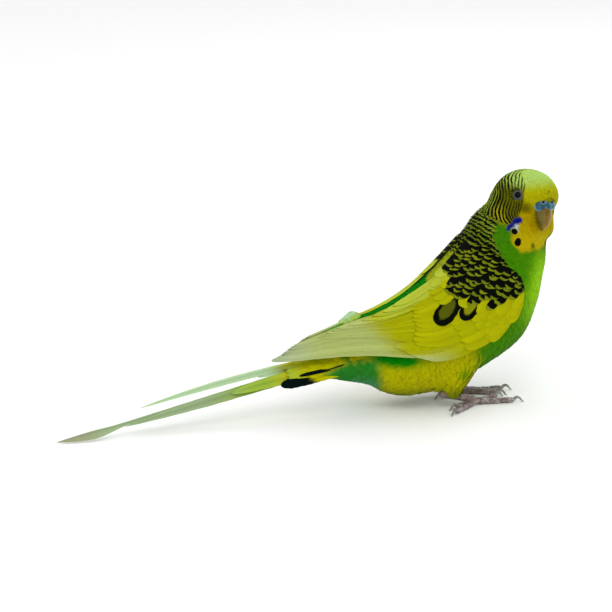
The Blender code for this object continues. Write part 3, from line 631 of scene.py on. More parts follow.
# scallops: dark almost to the edge, inside a pale rim that is widest at the tip
rim = calc("POWER", calc("ABSOLUTE", calc("DIVIDE", calc("SUBTRACT", shaft_way, 0.43), 0.52)), 4.0)
rim = calc("ADD", rim, calc("MULTIPLY", calc("POWER", aside, 6.0), 0.30))
rim = calc("ADD", rim, calc("MULTIPLY", flaw, 0.4))
dark = calc("SUBTRACT", 1.0, step(rim, 0.56, 0.72))
dark = calc("MULTIPLY", dark, calc("MINIMUM", scallop_depth, 1.0), clamp=True)
# a ringed feather has a scallop depth over 1: the middle of its tip is clear again
ringed = calc("SUBTRACT", scallop_depth, 1.0, clamp=True)
up_middle = calc("POWER", calc("DIVIDE", calc("SUBTRACT", shaft_way, 0.60), 0.27), 2.0)
off_middle = calc("POWER", calc("DIVIDE", calc("SUBTRACT", cross_way, 0.08), 0.62), 2.0)
round_middle = calc("ADD", calc("ADD", up_middle, off_middle), calc("MULTIPLY", flaw, 0.8))
hollow = calc("SUBTRACT", 1.0, step(round_middle, 0.6, 1.2))
dark = calc("MAXIMUM", dark, step(ringed, 0.0, 0.05))
dark = calc("SUBTRACT", dark, calc("MULTIPLY", hollow, ringed), clamp=True)
# each feather's own tone, its barbs, small flaws and a paler tip
light = calc("MULTIPLY_ADD", tone, 0.16, 0.93)
light = calc("MULTIPLY_ADD", barb, 0.035, light)
light = calc("MULTIPLY_ADD", flaw, 0.16, light)
light = calc("MULTIPLY_ADD", step(shaft_way, 0.55, 1.0), 0.10, light)
toned = nodes.new("ShaderNodeVectorMath")
toned.operation = "SCALE"
links.new(given.outputs["Tint"], toned.inputs[0])
links.new(light, toned.inputs["Scale"])
shaded = blend_node(nodes, links, calc("MAXIMUM", bar, dark), toned.outputs[0], (*SOOT, 1))
links.new(shaded, result.inputs["Color"])
links.new(calc("MULTIPLY_ADD", barb, 0.05, 0.62), result.inputs["Roughness"])
ridge = calc("MULTIPLY", calc("SUBTRACT", 1.0, step(aside, 0.0, 0.12)), 0.5)
links.new(calc("MULTIPLY_ADD", barb, 0.30, calc("ADD", ridge, flaw)), result.inputs["Height"])


THROAT_SPOTS = [  # place in the head's axes and radius
    ((8.35, -11.4, -7.0), 1.05), ((10.0, -11.3, -9.5), 1.0), ((10.0, -11.5, -10.3), 1.15),
    ((4.9, 8.9, -8.3), 0.95), ((5.0, 7.6, -10.6), 1.1), ((7.9, 1.9, -12.9), 0.95),
]


def plumage_material(name, barbs, bump, spots=()):
    made = new_material(name, 0.7, Specular_IOR_Level=0.02)
    nodes, links = made.node_tree.nodes, made.node_tree.links
    vane = nodes.new("ShaderNodeGroup")
    vane.node_tree = vane_group
    vane.inputs["Barbs"].default_value = barbs
    for name_read, output, socket in (
        ("tint", "Color", "Tint"), ("feather", "Vector", "Feather"), ("marks", "Vector", "Marks"),
    ):
        links.new(attribute_node(nodes, name_read).outputs[output], vane.inputs[socket])
    colour = vane.outputs["Color"]
    for local, radius in spots:
        place = nodes.new("ShaderNodeTexCoord")
        away = nodes.new("ShaderNodeVectorMath")
        away.operation = "DISTANCE"
        links.new(place.outputs["Object"], away.inputs[0])
        away.inputs[1].default_value = tuple((surface_place(np.array(local)) + ORIGIN) * MM)
        beyond = step_node(nodes, links, away.outputs["Value"], (radius - 0.12) * MM, (radius + 0.12) * MM)
        colour = blend_node(nodes, links, beyond, (*SOOT, 1), colour)
    links.new(colour, shader_socket(made, "Base Color"))
    links.new(vane.outputs["Roughness"], shader_socket(made, "Roughness"))
    emboss(made, vane.outputs["Height"], bump, 0.05)
    return made


def dress(piece, tint, feather, marks, uv):
    """Gives a piece its per-point colours, feather places, markings and bake map."""
    mesh = piece.data
    count = len(mesh.vertices)
    colour = mesh.attributes.new("tint", "FLOAT_COLOR", "POINT")
    opaque = np.concatenate([tint, np.ones((count, 1))], axis=1)
    colour.data.foreach_set("color", opaque.astype(np.float32).ravel())
    for name, values in (("feather", feather), ("marks", marks)):
        held = mesh.attributes.new(name, "FLOAT_VECTOR", "POINT")
        held.data.foreach_set("vector", values.astype(np.float32).ravel())
    layer = mesh.uv_layers.new(name="OFBake")
    corner = np.empty(len(mesh.loops), np.int32)
    mesh.loops.foreach_get("vertex_index", corner)
    layer.data.foreach_set("uv", uv[corner].astype(np.float32).ravel())


def skin_uv(q, angle):
    """A place on an unwrap of the body: once round it across the map, from tail to crown up it."""
    around = (np.asarray(angle) / (2 * math.pi) + 0.25) % 1.0
    return np.stack([0.02 + 0.96 * around, 0.02 + 0.60 * np.asarray(q) / 15.0], axis=-1)


station_q, station_angle = np.meshgrid(np.linspace(0, 15, 226), circle(72), indexing="ij")
station_points = body_surface(station_q, station_angle).reshape(-1, 3)
station_tree = KDTree(len(station_points))
for number, point in enumerate(station_points):
    station_tree.insert(point, number)
station_tree.balance()
body_plumage = plumage_material("body_plumage", 30.0, 0.35, THROAT_SPOTS)
wing_plumage = plumage_material("wing_plumage", 110.0, 0.5)
tail_plumage = plumage_material("tail_plumage", 200.0, 0.5)

turns = circle(96)
rings = [body_surface(np.full(96, q), turns, -COAT_DEPTH) for q in np.linspace(0, 15, 121)]
flesh = [loft_piece("skin", rings, body_plumage, (None, np.array(CROWN) - (0, 0, COAT_DEPTH)))]
THIGH_COAT = 0.7
for thigh in THIGHS:
    rings = []
    for x, y, z, long, wide in along(np.array(thigh), np.linspace(0, 4, 17)):
        long, wide = long - THIGH_COAT, wide - THIGH_COAT
        rings.append([(x + long * math.cos(t), y + wide * math.sin(t), z) for t in turns[::3]])
    flesh.append(loft_piece("thigh_skin", rings, body_plumage))
skin = fused(flesh, "skin", 0.55, 0.5, 6, body_plumage)
skin_points = points_of(skin)[0]
skin_q, skin_angle = station_of(skin_points)
tint, phase, depth = markings(skin_points, skin_q, skin_angle)
blank = np.zeros(len(skin_points))
# the skin is a fifth darker than the feathers over it: painted shade for the gaps between them
dress(skin, tint * 0.8, np.stack([blank + 0.4, blank + 0.5, blank + 0.4], axis=1),
      np.stack([phase, depth, blank], axis=1), skin_uv(skin_q, skin_angle))
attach(skin, "root")
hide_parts("head", "neck", "torso", "thigh_right", "thigh_left")


# The coat: about 10,500 small contour feathers, each a thin cambered vane of its own, rooted in the
# skin and lying back over the next. They are tiny on the face and longer down neck, breast and back.
def vane_pattern(shares, columns):
    """Places along and across, and the closed faces, of a vane with a top and an under side."""
    shares, cross = np.asarray(shares, float), np.linspace(-1, 1, columns)
    rows = len(shares)
    top = np.arange(rows * columns).reshape(rows, columns)
    under = top.copy()
    under[1:-1, 1:-1] = rows * columns + np.arange((rows - 2) * (columns - 2)).reshape(rows - 2, columns - 2)
    s = np.concatenate([np.repeat(shares, columns), np.repeat(shares[1:-1], columns - 2)])
    e = np.concatenate([np.tile(cross, rows), np.tile(cross[1:-1], rows - 2)])
    below = np.concatenate([np.zeros(rows * columns), np.ones((rows - 2) * (columns - 2))])
    faces = []
    for r in range(rows - 1):
        for c in range(columns - 1):
            faces.append((top[r, c], top[r, c + 1], top[r + 1, c + 1], top[r + 1, c]))
            faces.append((under[r, c], under[r + 1, c], under[r + 1, c + 1], under[r, c + 1]))
    return s, e, below, np.array(faces, np.int32)


def outline(s, root, belly, blunt):
    """Half width of a vane along its length: narrow at the root, widest at the belly, rounded tip."""
    rise = root + (1 - root) * np.sin(0.5 * math.pi * np.clip(s / belly, 0, 1))
    fall = np.sqrt(np.clip(1 - (np.clip(s - belly, 0, 1) / (1.0001 - belly)) ** blunt, 0, 1))
    return np.maximum(rise * fall, 0.04)


UV_PATCH = 0.0015  # half the side of one feather on the bake map


class Vanes:
    """Feathers gathered into one mesh, with their colours, marks and places on the bake map."""

    def __init__(self):
        self.faces, self.rows, self.count = [], [], 0

    def add(self, points, faces, tint, s, e, tone, home, scallop=0.0):
        blank = np.zeros(len(s))
        self.faces.append(faces + self.count)
        self.count += len(points)
        feather, marks = (s, e, blank + tone), (blank, blank, blank + scallop)
        uv = np.array(home) + UV_PATCH * np.stack([e, 2 * s - 1], axis=1)
        self.rows.append((points, tint, np.stack(feather, axis=1), np.stack(marks, axis=1), uv))

    def piece(self, name, material):
        points, tint, feather, marks, uv = (np.concatenate(column) for column in zip(*self.rows))
        made = mesh_piece(name, points, np.concatenate(self.faces), material)
        dress(made, tint, feather, marks, uv)
        return made


rng = np.random.default_rng(20261)
skin_faces = [tuple(face.vertices) for face in skin.data.polygons]
skin_tree = BVHTree.FromPolygons([tuple(p) for p in skin_points], skin_faces)


def scattered(count):
    """Random places spread evenly over the skin by area."""
    mesh = skin.data
    mesh.calc_loop_triangles()
    corners = np.empty(len(mesh.loop_triangles) * 3, np.int32)
    mesh.loop_triangles.foreach_get("vertices", corners)
    a, b, c = (skin_points[corners.reshape(-1, 3)[:, k]] for k in range(3))
    normal = np.cross(b - a, c - a)
    area = np.linalg.norm(normal, axis=1)
    pick = rng.choice(len(area), count, p=area / area.sum())
    u, v = rng.random(count), rng.random(count)
    flip = u + v > 1
    u[flip], v[flip] = 1 - u[flip], 1 - v[flip]
    return a[pick] + (b - a)[pick] * u[:, None] + (c - a)[pick] * v[:, None]


def feather_length(points, q):
    """Length of the contour feathers: short on the face, long on the belly, rump and vent."""
    local = in_head(points)
    arc = pole_distance(local)
    length = np.interp(q, [0, 2, 4, 6, 8, 9.5, 10.5, 15], [8.0, 7.5, 6.6, 5.4, 4.2, 3.2, 2.4, 2.0])
    face = smooth(9.8, 10.8, q)
    length = mix(length, np.interp(arc, [2, 6, 12, 20], [1.15, 1.6, 2.2, 2.6]), face)
    legs = smooth(9, 5, points[:, 2]) * smooth(4, 7, np.abs(points[:, 1])) * smooth(-19, -15, points[:, 0])
    return mix(length, 2.6, legs)


def apart(a, b, limit):
    gap = a - b
    return gap[0] * gap[0] + gap[1] * gap[1] + gap[2] * gap[2] >= limit


def thinned(points, spacing):
    """Keeps places that lie at least their own spacing apart."""
    cell = spacing.min()
    grid, kept = {}, []
    keys = np.floor(points / cell).astype(int)
    reach = np.ceil(spacing / cell).astype(int)
    for number, (key, r) in enumerate(zip(map(tuple, keys), reach)):
        around = product(*(range(k - r, k + r + 1) for k in key))
        others = (other for place in around for other in grid.get(place, ()))
        if all(apart(points[number], points[other], spacing[number] ** 2) for other in others):
            grid.setdefault(key, []).append(number)
            kept.append(number)
    return np.array(kept)


roots = scattered(110000)
root_q, root_angle = station_of(roots)
length = feather_length(roots, root_q)
local = in_head(roots)
bare = np.zeros(len(roots), bool)
for side in (-1, 1):
    bare |= np.linalg.norm(local - np.array((5.2, side * 7.9, 4.0)), axis=1) < 2.3  # round the eye
bare |= (np.linalg.norm(local - np.array((9.3, 0, 0.6)), axis=1) < 2.9) & (local[:, 0] > 6)  # under the cere
bare |= (np.linalg.norm((local - np.array((8.6, 0, -3.6))) / (1, 1, 1.5), axis=1) < 2.2) & (local[:, 0] > 5)
bare |= root_q < 0.25
roots, root_q, root_angle, length = (a[~bare] for a in (roots, root_q, root_angle, length))
kept = thinned(roots, np.clip(length * 0.17, 0.3, 0.95))
roots, root_q, root_angle, length = (a[kept] for a in (roots, root_q, root_angle, length))

# the lie of the coat: away from the bill over the head, then back along the body, and down the legs
STEP = 0.02
ahead, behind = (body_surface(np.clip(root_q + step_on, 0, 15), root_angle) for step_on in (STEP, -STEP))
tail_ward = -unit(ahead - behind)
local = unit(in_head(roots))
bill_base = unit(np.array((0.97, 0.0, -0.12)))
face_ward = (local * (local @ bill_base)[:, None] - bill_base) @ head_axes.T
lie = unit(mix(tail_ward, unit(face_ward), smooth(9.6, 11.0, root_q)))
legs = smooth(12, 8, roots[:, 2]) * smooth(4, 7, np.abs(roots[:, 1]))
legs = legs * smooth(-20, -16, roots[:, 0]) * smooth(-2, -5, roots[:, 0])
lie = unit(mix(lie, np.tile((-0.1, 0, -1.0), (len(lie), 1)), legs * 0.8))
lie = unit(lie + rng.normal(0, 0.09, lie.shape))

SHARES = (0.0, 0.38, 0.72, 0.93, 1.0)
s, e, below, pattern = vane_pattern(SHARES, 3)
centre_rows = np.empty((len(roots), len(SHARES), 3))
normal_rows = np.empty((len(roots), len(SHARES), 3))
for number, (root, way, reach) in enumerate(zip(roots, lie, length)):
    normal = None
    for k, share in enumerate(SHARES):
        nearest, facing, _, _ = skin_tree.find_nearest(root + way * reach * share)
        centre_rows[number, k] = nearest
        normal = np.array(facing) if normal is None else unit(normal * 0.5 + np.array(facing) * 0.5)
        normal_rows[number, k] = normal
centre_rows[:, 1:-1] = 0.5 * centre_rows[:, 1:-1] + 0.25 * (centre_rows[:, :-2] + centre_rows[:, 2:])
travel = unit(np.gradient(centre_rows, axis=1))
side_rows = unit(np.cross(normal_rows, travel))
row_of = np.searchsorted(SHARES, s - 1e-6)
lift = rng.normal(0, 0.03, len(roots)) * np.minimum(1, length / 3)
tone = rng.random(len(roots))
half = length * rng.uniform(0.27, 0.34, len(roots))
width = outline(s, 0.35, 0.6, 2.0)
thickness = np.clip(length * 0.015, 0.025, 0.06)
crest = COAT_DEPTH * (0.6 + 0.4 * smooth(1.0, 3.2, length))
fall = np.minimum(crest + 0.1, 0.15 * length)
height = crest[:, None] - fall[:, None] * (1 - s[None, :] ** 0.8) + lift[:, None] * s[None, :]
nape = np.exp(-(((root_q - 9.8) / 0.9) ** 2)) * smooth(0.72, 0.95, np.sin(root_angle))
height = height + (nape * (1.0 + rng.normal(0, 0.12, len(roots))))[:, None] * s[None, :]
spread = half[:, None] * (width * e)[None, :]
camber = -(spread**2) / 26.0 + (0.05 * half)[:, None] * (1 - e**2)[None, :]
camber = camber - (below * 1.0)[None, :] * thickness[:, None]
coat_points = (
    centre_rows[:, row_of] + side_rows[:, row_of] * spread[..., None]
    + normal_rows[:, row_of] * (height + camber)[..., None]
)
flat_points = coat_points.reshape(-1, 3)
per = len(s)
vertex_q, vertex_angle = station_of(centre_rows.reshape(-1, 3))
vertex_q = vertex_q.reshape(len(roots), -1)[:, row_of].ravel()
vertex_angle = vertex_angle.reshape(len(roots), -1)[:, row_of].ravel()
coat_tint, coat_phase, coat_depth = markings(flat_points, vertex_q, vertex_angle)
coat_phase = coat_phase + np.repeat(rng.normal(0, 0.05, len(roots)), per)
coat_feather = np.stack([np.tile(s, len(roots)), np.tile(e, len(roots)), np.repeat(tone, per)], axis=1)
coat_marks = np.stack([coat_phase, coat_depth, np.zeros(len(coat_phase))], axis=1)
patch = np.stack([np.tile(e, len(roots)), np.tile(s * 2 - 1, len(roots))], axis=1) * UV_PATCH
coat_uv = np.repeat(skin_uv(root_q, root_angle), per, axis=0) + patch
tracts = {
    "head_coat": root_q > 10.6,
    "neck_coat": (root_q > 8.6) & (root_q <= 10.6),
    "breast_coat": (root_q > 5.0) & (root_q <= 8.6),
    "rear_coat": root_q <= 5.0,
}
for name, chosen in tracts.items():
    numbers = np.flatnonzero(chosen)
    vertices = (numbers[:, None] * per + np.arange(per)).ravel()
    faces = (np.arange(len(numbers))[:, None, None] * per + pattern[None]).reshape(-1, 4)
    coat = mesh_piece(name, flat_points[vertices], faces, body_plumage)
    dress(coat, coat_tint[vertices], coat_feather[vertices], coat_marks[vertices], coat_uv[vertices])
    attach(coat, "root")


# The wings: folded over the rump, each with its flights, tertials and rows of coverts, every feather
# a stiff vane with a shaft. Each upper feather lies over the one below, so lower edges show.
WINGS = np.array([  # upper edge x and z, lower edge x and z, and half the width over both wings
    (3.9, 63.4, 25.0, 51.5, 12.6), (0.0, 58.8, 26.0, 43.5, 15.6), (-5.4, 53.4, 24.5, 32.0, 17.6),
    (-11.5, 47.6, 19.0, 20.0, 18.6), (-18.2, 41.8, 8.0, 10.0, 18.6), (-25.3, 37.0, -6.0, 5.0, 17.6),
    (-33.0, 33.5, -22.0, 5.5, 15.2), (-41.0, 31.2, -33.5, 8.5, 12.0), (-50.0, 28.6, -46.0, 11.0, 9.0),
    (-60.0, 25.2, -58.0, 13.5, 6.0), (-71.5, 21.0, -71.0, 17.0, 2.6),
])
WING_YELLOW, FLIGHT_CREAM, FLIGHT_TIP = srgb(154, 156, 2), srgb(160, 172, 98), srgb(158, 172, 134)
FLIGHT_EDGE, UPPER_LEMON, SHADOW_OLIVE = srgb(166, 190, 158), srgb(166, 178, 50), srgb(48, 56, 6)
SCALLOP_RIM, SCALLOP_OLIVE = srgb(80, 96, 18), srgb(112, 120, 14)


def wing_frame(q, angle):
    """Point and outward normal on the wing, and millimetres for each radian round and station along."""
    step_on = 0.02
    here = oval(WINGS, q, angle)
    ahead = oval(WINGS, q + step_on, angle) - oval(WINGS, q - step_on, angle)
    across = (oval(WINGS, q, angle + step_on) - oval(WINGS, q, angle - step_on)) / (2 * step_on)
    normal = unit(np.cross(across, ahead))
    outward = here - oval(WINGS, q, angle + math.pi)
    normal = normal * np.sign((normal * outward).sum(axis=-1, keepdims=True))
    return here, normal, np.linalg.norm(across, axis=-1), np.linalg.norm(ahead, axis=-1) / (2 * step_on)


FRONT_EDGE = (  # degrees round the wing, and the station where the plumage of the neck covers it
    [-12, -8, -4, 6, 17, 25, 38, 60, 80], [2.7, 2.5, 2.15, 1.95, 1.9, 1.85, 1.7, 1.5, 1.4],
)
SCALLOP_EDGE = (  # degrees round the wing, and the station where the dark scallops end
    [-20, -8, -3, 1, 4, 9, 14, 21, 30, 41, 50, 58, 66, 80],
    [2.0, 2.25, 2.35, 2.5, 2.85, 3.25, 3.38, 3.42, 3.55, 3.75, 3.78, 3.7, 3.4, 3.1],
)


def sunk_front(q, angle):
    """How deep the front edge of the wing is sunk in the plumage of the neck and breast."""
    limit = np.interp(np.degrees(angle), *FRONT_EDGE)
    return 4.6 * (1 - smooth(limit - 0.5, limit + 0.35, q))


def scalloped(q, angle):
    """1 where the shoulder's feathers are dark scallops, 0 beyond."""
    return (q < np.interp(angle, *SCALLOP_EDGE)).astype(float)


def wing_colour(q, angle):
    """Tint at a place on the wing, q along it and angle round it in degrees."""
    tint = np.tile(WING_YELLOW, (len(q), 1))
    tint = mix(tint, FLIGHT_CREAM, smooth(6.0, 7.0, q - 0.006 * (angle - 30)))
    tint = mix(tint, FLIGHT_TIP, smooth(8.3, 9.9, q))
    tint = mix(tint, FLIGHT_EDGE, 0.85 * smooth(14, 1, angle) * smooth(4.6, 6.4, q))
    upper = smooth(66, 72, angle) * smooth(2.8, 3.3, q) * (1 - smooth(5.5, 7.0, q))
    return mix(tint, UPPER_LEMON, upper)


def wing_uv(side, q, angle):
    """A place on the right or left wing's part of the bake map, its angle in degrees."""
    start = 0.04 + (0.0 if side > 0 else 0.48)
    return np.stack([start + 0.42 * (angle + 20) / 110, 0.66 + 0.30 * q / 10], axis=-1)


POINTED, ROUND, BLUNT, RINGED_SHAPE = (0.55, 0.62, 2.6), (0.5, 0.62, 2.4), (0.55, 0.72, 3.4), (0.6, 0.7, 2.2)
# Each tier: name, feathers, first and last root, first and last tip as (station, degrees), first and
# last half width, first and last lifts at root and tip, tilt, outline and rows of points.
WING_TIERS = [
    ("primaries", 10, (4.9, 2), (5.3, 44), (9.9, 32), (9.3, 82),
     2.1, 2.7, (-1.2, -0.5), (-1.2, -0.35), 0.24, POINTED, 17),
    ("secondaries", 10, (4.3, 12), (4.3, 62), (8.6, 72), (7.8, 78),
     2.6, 2.8, (-1.1, -0.4), (-1.1, -0.2), 0.22, ROUND, 15),
    ("tertials", 5, (3.2, 60), (2.9, 72), (7.4, 75), (5.6, 79),
     2.7, 2.3, (-1.0, -0.15), (-1.0, 0.05), 0.2, ROUND, 13),
    ("primary_coverts", 8, (3.2, -7), (3.8, 12), (5.6, -1), (6.4, 20),
     1.9, 2.0, (-0.9, -0.38), (-0.9, -0.3), 0.16, ROUND, 11),
    ("greater_coverts", 11, (3.3, 6), (3.0, 66), (5.7, 22), (5.0, 72),
     2.3, 2.2, (-0.8, -0.22), (-0.8, -0.15), 0.15, ROUND, 11),
    ("median_coverts", 11, (2.6, -7), (2.4, 68), (4.55, 0), (4.2, 72),
     2.3, 2.2, (-0.7, -0.1), (-0.7, -0.05), 0.13, BLUNT, 9),
]
for row, tip in enumerate(np.arange(3.9, 1.6, -0.18)):
    back_tip = tip - 0.12
    front_angle = -6 if row < 9 else -3 + 3.5 * (row - 9)
    WING_TIERS.append((
        f"lesser_coverts_{row}", 10, (tip - 1.0, front_angle), (back_tip - 1.0, 76), (tip, front_angle),
        (back_tip, 74), 2.5, 2.3, (-0.5, 0.013 * row), (-0.5, 0.1), 0.10, BLUNT, 10,
    ))
RINGED = [  # the two large feathers with a dark ring: root, tip, half width, lifts and ring
    ((3.3, 46.0), (4.8, 33.5), 3.1, (-0.45, 0.12), 0.4), ((2.75, 38.0), (4.08, 23.6), 2.6, (-0.5, 0.15), 0.8),
]
RINGED_JOBS = [
    (np.array(root), np.array(tip), wide, np.array(lift), 0.06, RINGED_SHAPE, 16, ring)
    for root, tip, wide, lift, ring in RINGED
]


def feathers_of(tier, draw):
    """One tier's feathers: root, tip, half width, lifts, tilt, outline, rows of points and ring."""
    name, count, root_a, root_b, tip_a, tip_b, wide_a, wide_b, lift_a, lift_b, tilt, shape, rows = tier
    loose = "lesser" in name
    stagger = (draw.random() - 0.5) / count if loose else 0
    jobs = []
    for k in range(count):
        share = min(1, max(0, k / (count - 1) + stagger))
        root = mix(np.array(root_a, float), np.array(root_b, float), share)
        tip = mix(np.array(tip_a, float), np.array(tip_b, float), share)
        tip = tip + draw.normal(0, (0.06, 1.5) if loose else (0.03, 0.4))
        lift = mix(np.array(lift_a), np.array(lift_b), share)
        jobs.append((root, tip, mix(wide_a, wide_b, share), lift, tilt, shape, rows, 0.0))
    return jobs


def wing_vanes(name, tiers, side, extra=()):
    """All feathers of some tiers on one wing as one mesh."""
    vanes = Vanes()
    draw = np.random.default_rng(77 if side > 0 else 78)
    jobs = [job for tier in tiers for job in feathers_of(tier, draw)] + list(extra)
    for root, tip, wide, lift, tilt, shape, rows, ring in jobs:
        if side < 0 and tip[0] > 7:
            tip = tip - (0.6, 9.0)  # the far wing's flights lie under the near wing's
        s, e, below, pattern = vane_pattern(1 - (1 - np.linspace(0, 1, rows)) ** 1.7, 5)
        q = root[0] + (tip[0] - root[0]) * s
        bend = draw.normal(0, 0.8) * np.sin(math.pi * s)
        angle = np.radians(root[1] + (tip[1] - root[1]) * s + bend)
        _, _, per_radian, per_station = wing_frame(q, angle)
        half = wide * outline(s, *shape) * (1 + draw.normal(0, 0.02))
        ragged = 1 + 0.035 * np.sin(37 * s + 9 * draw.random()) * np.abs(e)
        slant = np.arctan2(math.radians(tip[1] - root[1]) * per_radian, (tip[0] - root[0]) * per_station)
        q_at = np.clip(q - e * half * ragged * np.sin(slant) / per_station, 0, 10)
        point, normal, _, _ = wing_frame(q_at, angle + e * half * ragged * np.cos(slant) / per_radian)
        ridge = 0.05 * np.exp(-((e / 0.16) ** 2)) * (1 - s)
        level = lift[0] + (lift[1] - lift[0]) * s**0.4 - e * tilt + 0.10 * (1 - e**2) * half / wide + ridge
        level = level - sunk_front(q, angle)
        points = point + normal * (level - below * 0.09)[:, None]
        points[:, 1] *= side
        tint = wing_colour(q, np.degrees(angle))
        scallop = scalloped(tip[0] - 0.12, tip[1])
        tint = mix(tint, mix(SCALLOP_RIM, SCALLOP_OLIVE, draw.random() * 0.8), np.full(len(s), scallop * 0.9))
        streak = 1 + 0.06 * np.sin(e * 9 + tip[1])
        tint = tint * (streak * (1 - 0.10 * smooth(0.2, 1.0, e) * smooth(5.5, 7.0, q)))[:, None]
        if ring > 0:
            scallop = 1.0 + ring
            tint = mix(tint, SCALLOP_RIM, 0.95 - 0.8 * ring)
        faces = pattern if side > 0 else pattern[:, ::-1]
        vanes.add(points, faces, tint, s, e, draw.random(), wing_uv(side, root[0], root[1]), scallop)
    wing = vanes.piece(name, wing_plumage)
    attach(wing, "root")
    return wing


def arm_sheet(q, angle, spread, side):
    """Points and faces of the closed sheet of skin and down under the coverts."""
    point, normal, _, _ = wing_frame(q, angle)
    edge = np.minimum(np.minimum(spread, 1 - spread) * 6, 1) * np.minimum((q - 1.2) * 2.0, 1)
    sunk = 1.15 * sunk_front(q, angle)
    top = point + normal * (-0.75 - 0.7 * (1 - edge) - 0.35 * smooth(3.5, 6.6, q) - sunk)[..., None]
    under = point + normal * (-1.9 - 0.2 * edge - sunk)[..., None]
    grid = np.arange(q.size).reshape(q.shape)
    faces = np.stack([grid[:-1, :-1], grid[:-1, 1:], grid[1:, 1:], grid[1:, :-1]], axis=-1).reshape(-1, 4)
    rim = np.concatenate([grid[0, :-1], grid[:-1, -1], grid[-1, :0:-1], grid[:0:-1, 0]])
    walls = np.stack([rim, rim + q.size, np.roll(rim, -1) + q.size, np.roll(rim, -1)], axis=-1)
    faces = np.concatenate([faces, faces[:, ::-1] + q.size, walls])
    points = np.concatenate([top.reshape(-1, 3), under.reshape(-1, 3)])
    points[:, 1] *= side
    return points, faces if side > 0 else faces[:, ::-1]


LOWER_EDGE = np.array([14, 12, -8, -19, -12, -4, 1, 3, 1, 0, 0.0])
UPPER_EDGE = np.array([50, 56, 66, 76, 79, 79, 78, 76, 74, 70, 60.0])
for side, wing_name in ((1, "wing_right"), (-1, "wing_left")):
    q, spread = np.meshgrid(np.linspace(1.2, 6.6, 41), np.linspace(0.02, 0.98, 25), indexing="ij")
    low = along(LOWER_EDGE[:, None], q)[..., 0] + 2
    high = along(UPPER_EDGE[:, None], q)[..., 0] - 2
    angle = np.radians(low + (high - low) * spread)
    points, faces = arm_sheet(q, angle, spread, side)
    arm = mesh_piece(wing_name + "_arm", points, faces, wing_plumage)
    q_twice, degrees = np.tile(q.ravel(), 2), np.degrees(np.tile(angle.ravel(), 2))
    # painted shade: the sheet under the coverts is a fifth darker than the feathers, and shadow olive under
    # the scallops
    tint = mix(wing_colour(q_twice, degrees), SHADOW_OLIVE, scalloped(q_twice, degrees) * 0.8)
    blank = np.zeros(len(q_twice))
    feather = np.stack([blank + 0.4, blank + 0.6, blank + 0.3], axis=1)
    dress(arm, tint * 0.8, feather, np.stack([blank] * 3, axis=1), wing_uv(side, q_twice, degrees))
    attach(arm, "root")
    wing_vanes(wing_name + "_flights", WING_TIERS[:4], side)
    coverts = wing_vanes(wing_name + "_coverts", WING_TIERS[4:], side, RINGED_JOBS)
    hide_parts(wing_name)


# The rump: a strip of long green feathers that fills the space between the folded wings, with a
# ruffled tuft of pale down where it meets the far wing. Both lie along the ridge of the back.
RUMP = np.array([  # x and z of the ridge between the wings
    (-8.0, 49.0), (-11.5, 45.8), (-18.2, 40.9), (-25.3, 36.8), (-33.0, 33.3), (-41.0, 30.9), (-50.0, 28.0),
    (-57.0, 24.6),
])
RUMP_PALE, TUFT_EDGE = srgb(120, 176, 90), srgb(150, 176, 70)
DOWN_COLOURS = [(166, 200, 150), (150, 190, 124), (172, 202, 170)]
RUMP_COLUMNS, TUFT_FEATHERS = 7, 90


def ridge_height(x):
    return np.interp(-x, -RUMP[:, 0], RUMP[:, 1])


draw = np.random.default_rng(5)
vanes = Vanes()
for row, start_x in enumerate(np.arange(-9, -47, -1.5)):
    for k in range(RUMP_COLUMNS):
        x0 = start_x + draw.normal(0, 0.4)
        y0 = (k - 3 + 0.5 * (row % 2)) * 1.35 + draw.normal(0, 0.2)
        s, e, below, pattern = vane_pattern(np.linspace(0, 1, 7), 3)
        x = x0 - 6.5 * s
        y = y0 * (1 - 0.12 * s) + 1.25 * outline(s, 0.4, 0.6, 2.2) * e
        z = ridge_height(x) - 0.35 - 0.4 * (1 - s) + 0.3 * smooth(0, 2.5, y)
        z = z - y**2 / np.where(y > 0, 18, 8) - 0.10 * e**2 - below * 0.07
        tint = mix(np.tile(DARK_GRASS, (len(s), 1)), RUMP_PALE, smooth(-44, -52, x))
        home = (0.03 + 0.9 * (row * RUMP_COLUMNS + k) / 190, 0.645)
        vanes.add(np.stack([x, y, z], axis=1), pattern, tint, s, e, draw.random(), home)
for k in range(TUFT_FEATHERS):
    s, e, below, pattern = vane_pattern((0, 0.4, 0.75, 0.93, 1.0), 3)
    off, turn = 2.9 * math.sqrt(draw.random()), draw.uniform(0, 2 * math.pi)
    x0, y0 = -40.6 + 1.2 * off * math.cos(turn), 3.0 + 0.8 * off * math.sin(turn)
    x = x0 - 2.4 * s
    y = y0 + draw.uniform(-0.5, 0.5) * s + 0.75 * outline(s, 0.4, 0.6, 2.0) * e
    dome = 2.6 * np.exp(-(((x + 41.8) / 3.0) ** 2) - ((y - 3.0) / 2.4) ** 2)
    z = ridge_height(x) - 0.9 + dome + 0.3 * (s - 0.5) - 0.1 * e**2 - below * 0.07
    down = np.tile(srgb(*draw.choice(DOWN_COLOURS)), (len(s), 1))
    tint = mix(down, TUFT_EDGE, np.full(len(s), float(smooth(1.6, 2.9, off))))
    home = (0.03 + 0.9 * k / TUFT_FEATHERS, 0.650)
    vanes.add(np.stack([x, y, z], axis=1), pattern, tint, s, e, draw.random(), home)
rump = vanes.piece("rump_coat", body_plumage)
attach(rump, "root")


